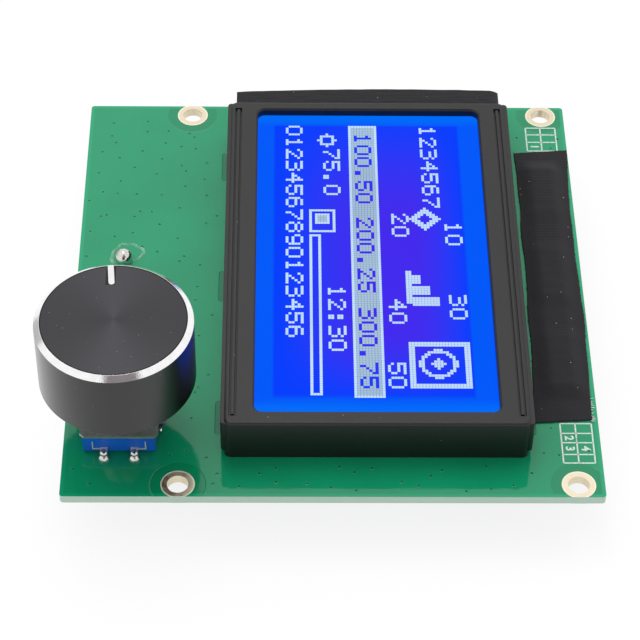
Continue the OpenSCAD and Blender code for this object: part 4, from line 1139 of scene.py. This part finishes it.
    def fray_edges(self, look, cloth):
        """Loose threads along the long edges and the near end of the header tape, and bare fibres."""
        draw = random.Random(5)
        bm = bmesh.new()
        level, tuck, near_ones = FACE + 0.5 * TAPE_T, 0.1 * MM, look.fray_count // 3
        for side, way in ((0, -1), (1, 1)):
            for _ in range(look.fray_count):
                y = draw.uniform(TAPE_LOW.y, TAPE_HIGH.y)
                root = Vector((self.edge(side, y) - way * tuck, y, level))
                out = Vector((way, draw.uniform(-0.8, 0.8), draw.uniform(-0.1, 0.25)))
                self.thread(bm, root, out, draw.uniform(0.4, 1.0) * look.fray_length, 0.03 * MM)
        for _ in range(near_ones):
            root = Vector((draw.uniform(TAPE_LOW.x, TAPE_HIGH.x), TAPE_LOW.y + tuck, level))
            out = Vector((draw.uniform(-0.6, 0.6), -1, 0.1))
            self.thread(bm, root, out, 0.7 * look.fray_length, 0.03 * MM)
        for _ in range(near_ones):
            y = TAPE_LOW.y + draw.uniform(0.0, 5.5) * MM
            root = Vector((self.edge(1, y) - tuck, y, level))
            out = Vector((1, draw.uniform(-1.2, 1.2), 0.2))
            self.thread(bm, root, out, draw.uniform(1.0, 2.4) * look.fray_length, 0.05 * MM, 1)
        add_piece("tape_threads", bm, [cloth, bare_fibre(look)])

    def thread(self, bm, root, out, length, radius, material_index=0):
        """Thin three-sided thread that droops at its tip."""
        out = out.normalized()
        side = out.cross(UP).normalized()
        rings = []
        for t in (0 / 3, 1 / 3, 2 / 3, 3 / 3):
            centre = root + out * length * t - UP * 0.3 * length * t * t
            centre.z = max(centre.z, FACE + radius)
            rings.append([bm.verts.new(centre + (side * math.cos(a) + UP * math.sin(a)) * radius)
                          for a in (0, 2 * math.pi / 3, 4 * math.pi / 3)])
        for face in [bm.faces.new(rings[0][::-1]), bm.faces.new(rings[-1])] + bridge(bm, rings):
            face.material_index = material_index


class LOOKS_OT_headers(bpy.types.Operator):
    """Finishes the box headers, the buzzer and the gold-flashed contacts"""
    bl_idname = "display_board.headers"
    bl_label = "Box headers"

    def execute(self, context):
        look = context.scene.plastic_look
        dress(moulded_plastic("nylon_black", look.header_colour, 0.5, 0.2, 0.015, look.dust_colour),
              "box_header_1", "box_header_2", "box_header_3", "buzzer_case")
        dress(bare_metal("brass_gold_flash", context.scene.metal_look.brass_colour, 0.22, 0.25, 0.006),
              "header_pins", "contact_tracks", "wiper_ring")
        return {"FINISHED"}


class LOOKS_OT_encoder(bpy.types.Operator):
    """Finishes the encoder, cuts the thread of its bush and builds its snap dome"""
    bl_idname = "display_board.encoder"
    bl_label = "Encoder"

    def execute(self, context):
        plastic, metal = context.scene.plastic_look, context.scene.metal_look
        steel = rolled_steel(metal)
        dress(moulded_plastic("pbt_blue", plastic.base_colour, 0.35, 0.2, 0.01), "encoder_base")
        dress(steel, "encoder_cover", "detent_spring", "shaft_clip")
        # Mostly matt and pale, so the terminals look lit in the knob's shade: painted light over tinned bronze
        dress(bare_metal("tinned_bronze_painted_lit", metal.terminal_colour, 0.45, 0.3, 0.01, metallic=0.25),
              "encoder_terminals")
        dress(moulded_plastic("acetal_white", linear("#E9E6DA"), 0.4, 0.3, 0.008), "encoder_rotor")
        dress(bare_metal("aluminium_drawn", linear("#C6C8CA"), 0.3, 0.2, 0.006), "encoder_shaft")
        self.cut_thread(bare_metal("zinc_die_cast", linear("#B4B7BA"), 0.3, 0.2, 0.008))
        self.press_dome(bare_metal("spring_steel_bright", linear("#C2C4C6"), 0.25, 0.3, 0.004))
        return {"FINISHED"}

    def press_dome(self, steel):
        """Snap dome under the shaft, built at rest; the real one gives way as the knob is pushed in."""
        low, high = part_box("switch_dome")
        foot = middle((low, high)) - UP * (high.z - low.z) / 2
        rise, reach, sheet = high.z - low.z, (high.x - low.x) / 2, 0.08 * MM
        ball = (reach ** 2 + rise ** 2) / (2 * rise)

        def cap(radius, rim):
            reaches = [rim * k / 12 for k in range(13)]
            return [(r, high.z - ball + math.sqrt(radius ** 2 - r ** 2)) for r in reaches]

        inner_rim = math.sqrt((ball - sheet) ** 2 - (ball - rise) ** 2)
        bm = bmesh.new()
        lathe(bm, cap(ball - sheet, inner_rim) + cap(ball, reach)[::-1], foot, 48)
        dome = add_piece("snap_dome", bm, [steel], ["switch_dome"])
        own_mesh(dome)

    def cut_thread(self, zinc):
        """Bush with a cut thread on its neck, in place of the plain one."""
        pitch, depth, per_turn, segments = 0.75 * MM, 0.42 * MM, 10, 72
        neck, bore, flange = 3.5 * MM, 3.05 * MM, (BUSH_HIGH.x - BUSH_LOW.x) / 2
        # The flange meets the underside of the cover's plate, and the thread starts at its top
        start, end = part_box("encoder_cover")[1].z, BUSH_HIGH.z
        plate = start - 0.5 * MM
        fade, bevel, tip = 0.5 * MM, 0.4 * MM, 0.3 * MM
        rows = int((end - start) / pitch * per_turn)
        bm = bmesh.new()

        def ring(height, radius):
            return [bm.verts.new((KNOB_AXIS.x + radius(k) * math.cos(2 * math.pi * k / segments),
                                  KNOB_AXIS.y + radius(k) * math.sin(2 * math.pi * k / segments), height))
                    for k in range(segments)]

        def threaded(height):
            runout = smooth(start, start + fade, height) * smooth(end, end - fade, height)

            def radius(k):
                phase = ((height - start) / pitch - k / segments) % 1
                groove = max(0.0, 1 - abs(phase - 0.5) / 0.42)
                return neck - max(depth * groove * runout, tip * smooth(end - bevel, end, height))
            return ring(height, radius)

        rings = [ring(height, lambda k, radius=radius: radius) for radius, height in
                 ((bore, BUSH_LOW.z), (flange, BUSH_LOW.z), (flange, plate), (neck, plate), (neck, start))]
        rings += [threaded(start + (end - start) * row / rows) for row in range(1, rows + 1)]
        rings += [ring(end, lambda k: bore), rings[0]]
        bridge(bm, rings)
        add_piece("bush_threaded", bm, [zinc], ["encoder_bush"], crease=30)


class LOOKS_OT_knob(bpy.types.Operator):
    """Finishes the turned knob, its pointer and its moulded core"""
    bl_idname = "display_board.knob"
    bl_label = "Knob"

    def execute(self, context):
        look = context.scene.knob_look
        dress(turned_aluminium(look), "knob_body")
        dress(moulded_plastic("acrylic_paint_white", look.paint_colour, 0.5, 0.25, 0.01), "knob_pointer")
        dress(moulded_plastic("abs_core_black", context.scene.plastic_look.bezel_colour, 0.5, 0.2, 0.012),
              "knob_insert")
        return {"FINISHED"}


class LOOKS_OT_back(bpy.types.Operator):
    """Finishes the chips and pours the epoxy caps on the back of the board"""
    bl_idname = "display_board.back"
    bl_label = "Back of the board"

    def execute(self, context):
        dress(moulded_plastic("chip_resistor_glaze", linear("#1B1B1E"), 0.3, 0.2, 0.006), "chip_resistors")
        dress(moulded_plastic("chip_capacitor_ceramic", linear("#A98A63"), 0.5, 0.2, 0.01), "chip_capacitors")
        tin = context.scene.metal_look.solder_colour
        dress(bare_metal("tinned_chip_ends", tin, 0.2, 0.3, 0.01), "chip_ends")
        self.pour_caps()
        return {"FINISHED"}

    def pour_caps(self):
        """Epoxy caps with the uneven rim and flattened crown of a poured drop."""
        top, depth = CAPS_HIGH.z, CAPS_HIGH.z - CAPS_LOW.z
        profile = [(CAP_R * math.sin(a), top - depth * (1 - (1 - math.cos(a)) ** 1.3))
                   for a in (math.pi / 2 * k / 14 for k in range(14))]
        profile += [(CAP_R, top), (0, top)]
        bm = bmesh.new()
        for number, y in enumerate(cap_places()):
            def rim(turn, start=1.7 * number):
                return 0.985 + 0.01 * math.sin(2 * turn + start) + 0.008 * math.sin(5 * turn + 2 * start)
            lathe(bm, profile, Vector((middle(CAPS).x, y, 0)), 64, wobble=rim)
        epoxy = moulded_plastic("epoxy_potting_black", linear("#121214"), 0.22, 1.2, 0.02)
        add_piece("epoxy_caps", bm, [epoxy], ["driver_caps"])


class LOOKS_OT_stage(bpy.types.Operator):
    """Makes the floor, the light and the camera"""
    bl_idname = "display_board.stage"
    bl_label = "Stage"

    def execute(self, context):
        look = context.scene.stage_look
        context.scene.view_settings.view_transform = "Standard"
        self.add_floor(look)
        self.light_world(look)
        self.add_lamp(look)
        self.add_camera(context, look)
        return {"FINISHED"}

    def seen_directly(self, tree):
        """1 for rays that show the background: straight, mirrored or through glass."""
        straight, mirrored, through = (add_node(tree, "LightPath", output=f"Is {ray} Ray")
                                       for ray in ("Camera", "Glossy", "Transmission"))
        either = add_node(tree, "Math", straight, mirrored, operation="MAXIMUM")
        return add_node(tree, "Math", either, through, operation="MAXIMUM")

    def add_floor(self, look):
        """White floor that keeps the object's soft shadow."""
        half, level = 3.0, CAD_LOW.z
        mesh = bpy.data.meshes.new("floor")
        corners = [(x * half, y * half, level) for x, y in ((-1, -1), (1, -1), (1, 1), (-1, 1))]
        mesh.from_pydata(corners, [], [range(4)])
        put("floor", mesh)
        material = bpy.data.materials.new("studio_floor_white")
        material.use_nodes = True
        tree = material.node_tree
        tree.nodes.clear()
        seen = self.seen_directly(tree)
        tone = add_node(tree, "Mix", seen, look.floor_colour, look.shadow_colour, **COLOURS)
        strength = add_node(tree, "Math", seen, look.floor_glow, operation="MULTIPLY")
        matt = add_node(tree, "BsdfDiffuse", tone)
        glow = add_node(tree, "Emission", sockets={"Strength": strength})
        add_node(tree, "OutputMaterial", add_node(tree, "AddShader", matt, glow))
        mesh.materials.append(material)

    def light_world(self, look):
        """White to the eye all round; as light, an even fill and a wide soft source behind and above."""
        world = bpy.data.worlds.new("studio_white")
        world.use_nodes = True
        bpy.context.scene.world = world
        tree = world.node_tree
        tree.nodes.clear()
        way = add_node(tree, "TexCoord", output="Generated")
        # The key's middle, and how near to it, as a cosine, its light starts and is full
        key, starts, full = Vector((-0.25, 0.62, 0.74)).normalized(), 0.55, 0.95
        to_key = add_node(tree, "VectorMath", way, key, operation="DOT_PRODUCT")
        light = add_node(tree, "MapRange", to_key, starts, full, look.fill_level, look.key_level, **SOFT)
        level = add_node(tree, "Mix", self.seen_directly(tree), light, 1.0)
        in_front = self.dark_screen(tree, way, (0.12, -0.6, 0.78), half_width=16, half_height=26, most=1.0)
        on_left = self.dark_screen(tree, way, (-0.77, 0.62, 0.12), half_width=26, half_height=13, most=0.65)
        screens = add_node(tree, "Math", in_front, on_left, operation="MAXIMUM")
        mirrored = add_node(tree, "LightPath", output="Is Glossy Ray")
        dark = add_node(tree, "Math", screens, mirrored, operation="MULTIPLY")
        colour = add_node(tree, "Mix", dark, (1.0, 1.0, 1.0), linear("#8A8284"), **COLOURS)
        add_node(tree, "OutputWorld", add_node(tree, "Background", colour, level))

    def dark_screen(self, tree, way, place, half_width, half_height, most):
        """Share of a dim screen, which bright metal needs for its dark parts: half its size in degrees."""
        ahead = Vector(place).normalized()
        beside = UP.cross(ahead).normalized()
        sides = ((beside, half_width), (ahead.cross(beside), half_height))
        offsets = [add_node(tree, "VectorMath", way, axis / math.sin(math.radians(half)),
                            operation="DOT_PRODUCT") for axis, half in sides]
        away = add_node(tree, "VectorMath", add_node(tree, "CombineXYZ", *offsets), operation="LENGTH")
        patch = add_node(tree, "MapRange", away, 1.25, 0.9, 0.0, most)
        front = add_node(tree, "VectorMath", way, ahead, operation="DOT_PRODUCT")
        facing = add_node(tree, "Math", front, 0.0, operation="GREATER_THAN")
        return add_node(tree, "Math", patch, facing, operation="MULTIPLY")

    def add_lamp(self, look):
        """One long lamp overhead, for the glints on edges and the sheen on turned faces."""
        data = bpy.data.lights.new("glint_lamp", "AREA")
        data.shape = "RECTANGLE"
        data.size, data.size_y = 0.26, 0.45
        data.energy = look.lamp_power
        lamp = put("glint_lamp", data)
        lamp.location = (-0.1, 0.34, 0.94)
        lamp.rotation_euler = (math.atan2(-0.34, 0.94), 0.0, 0.0)

    def add_camera(self, context, look):
        """Camera at the viewing angle of the photograph."""
        turn, rise = look.azimuth, look.elevation
        back = Vector((math.sin(turn) * math.cos(rise), -math.cos(turn) * math.cos(rise), math.sin(rise)))
        right = (-back).cross(UP).normalized()
        up = back.cross(right)
        rolled_right = right * math.cos(look.roll) + up * math.sin(look.roll)
        rolled_up = up * math.cos(look.roll) - right * math.sin(look.roll)
        matrix = Matrix((rolled_right, rolled_up, back)).transposed().to_4x4()
        matrix.translation = Vector(look.target) + back * look.distance
        data = bpy.data.cameras.new("camera")
        data.lens = look.lens
        data.sensor_width = 36.0
        data.clip_start, data.clip_end = 0.01, 20.0
        camera = put("camera", data)
        camera.matrix_world = matrix
        context.scene.camera = camera


class LOOKS_PT_panel(bpy.types.Panel):
    """Lists the steps that dress the display board"""
    bl_idname = "LOOKS_PT_panel"
    bl_label = "Display board"
    bl_space_type = "VIEW_3D"
    bl_region_type = "UI"
    bl_category = "Display board"

    def draw(self, context):
        for operator in OPERATORS:
            self.layout.operator(operator.bl_idname)
        for name, group in LOOKS.items():
            box = self.layout.box()
            for field in group.__annotations__:
                box.prop(getattr(context.scene, name), field)


LOOKS = {
    "board_look": BoardLook,
    "screen_look": ScreenLook,
    "tape_look": TapeLook,
    "knob_look": KnobLook,
    "plastic_look": PlasticLook,
    "metal_look": MetalLook,
    "stage_look": StageLook,
}
OPERATORS = (LOOKS_OT_stage, LOOKS_OT_board, LOOKS_OT_solder, LOOKS_OT_bezel, LOOKS_OT_screen, LOOKS_OT_stack,
             LOOKS_OT_tapes, LOOKS_OT_headers, LOOKS_OT_encoder, LOOKS_OT_knob, LOOKS_OT_back)


def register():
    """Registers the settings, the operators and the panel."""
    for name, group in LOOKS.items():
        bpy.utils.register_class(group)
        setattr(bpy.types.Scene, name, PointerProperty(type=group))
    for operator in OPERATORS:
        bpy.utils.register_class(operator)
    bpy.utils.register_class(LOOKS_PT_panel)


def unregister():
    """Takes back what register made."""
    bpy.utils.unregister_class(LOOKS_PT_panel)
    for operator in reversed(OPERATORS):
        bpy.utils.unregister_class(operator)
    for name, group in reversed(LOOKS.items()):
        delattr(bpy.types.Scene, name)
        bpy.utils.unregister_class(group)


def main():
    """Dresses the board step by step."""
    register()
    bpy.ops.display_board.stage()
    bpy.ops.display_board.board()
    bpy.ops.display_board.solder()
    bpy.ops.display_board.bezel()
    bpy.ops.display_board.screen()
    bpy.ops.display_board.stack()
    bpy.ops.display_board.tapes()
    bpy.ops.display_board.headers()
    bpy.ops.display_board.encoder()
    bpy.ops.display_board.knob()
    bpy.ops.display_board.back()


if __name__ == "__main__":
    main()
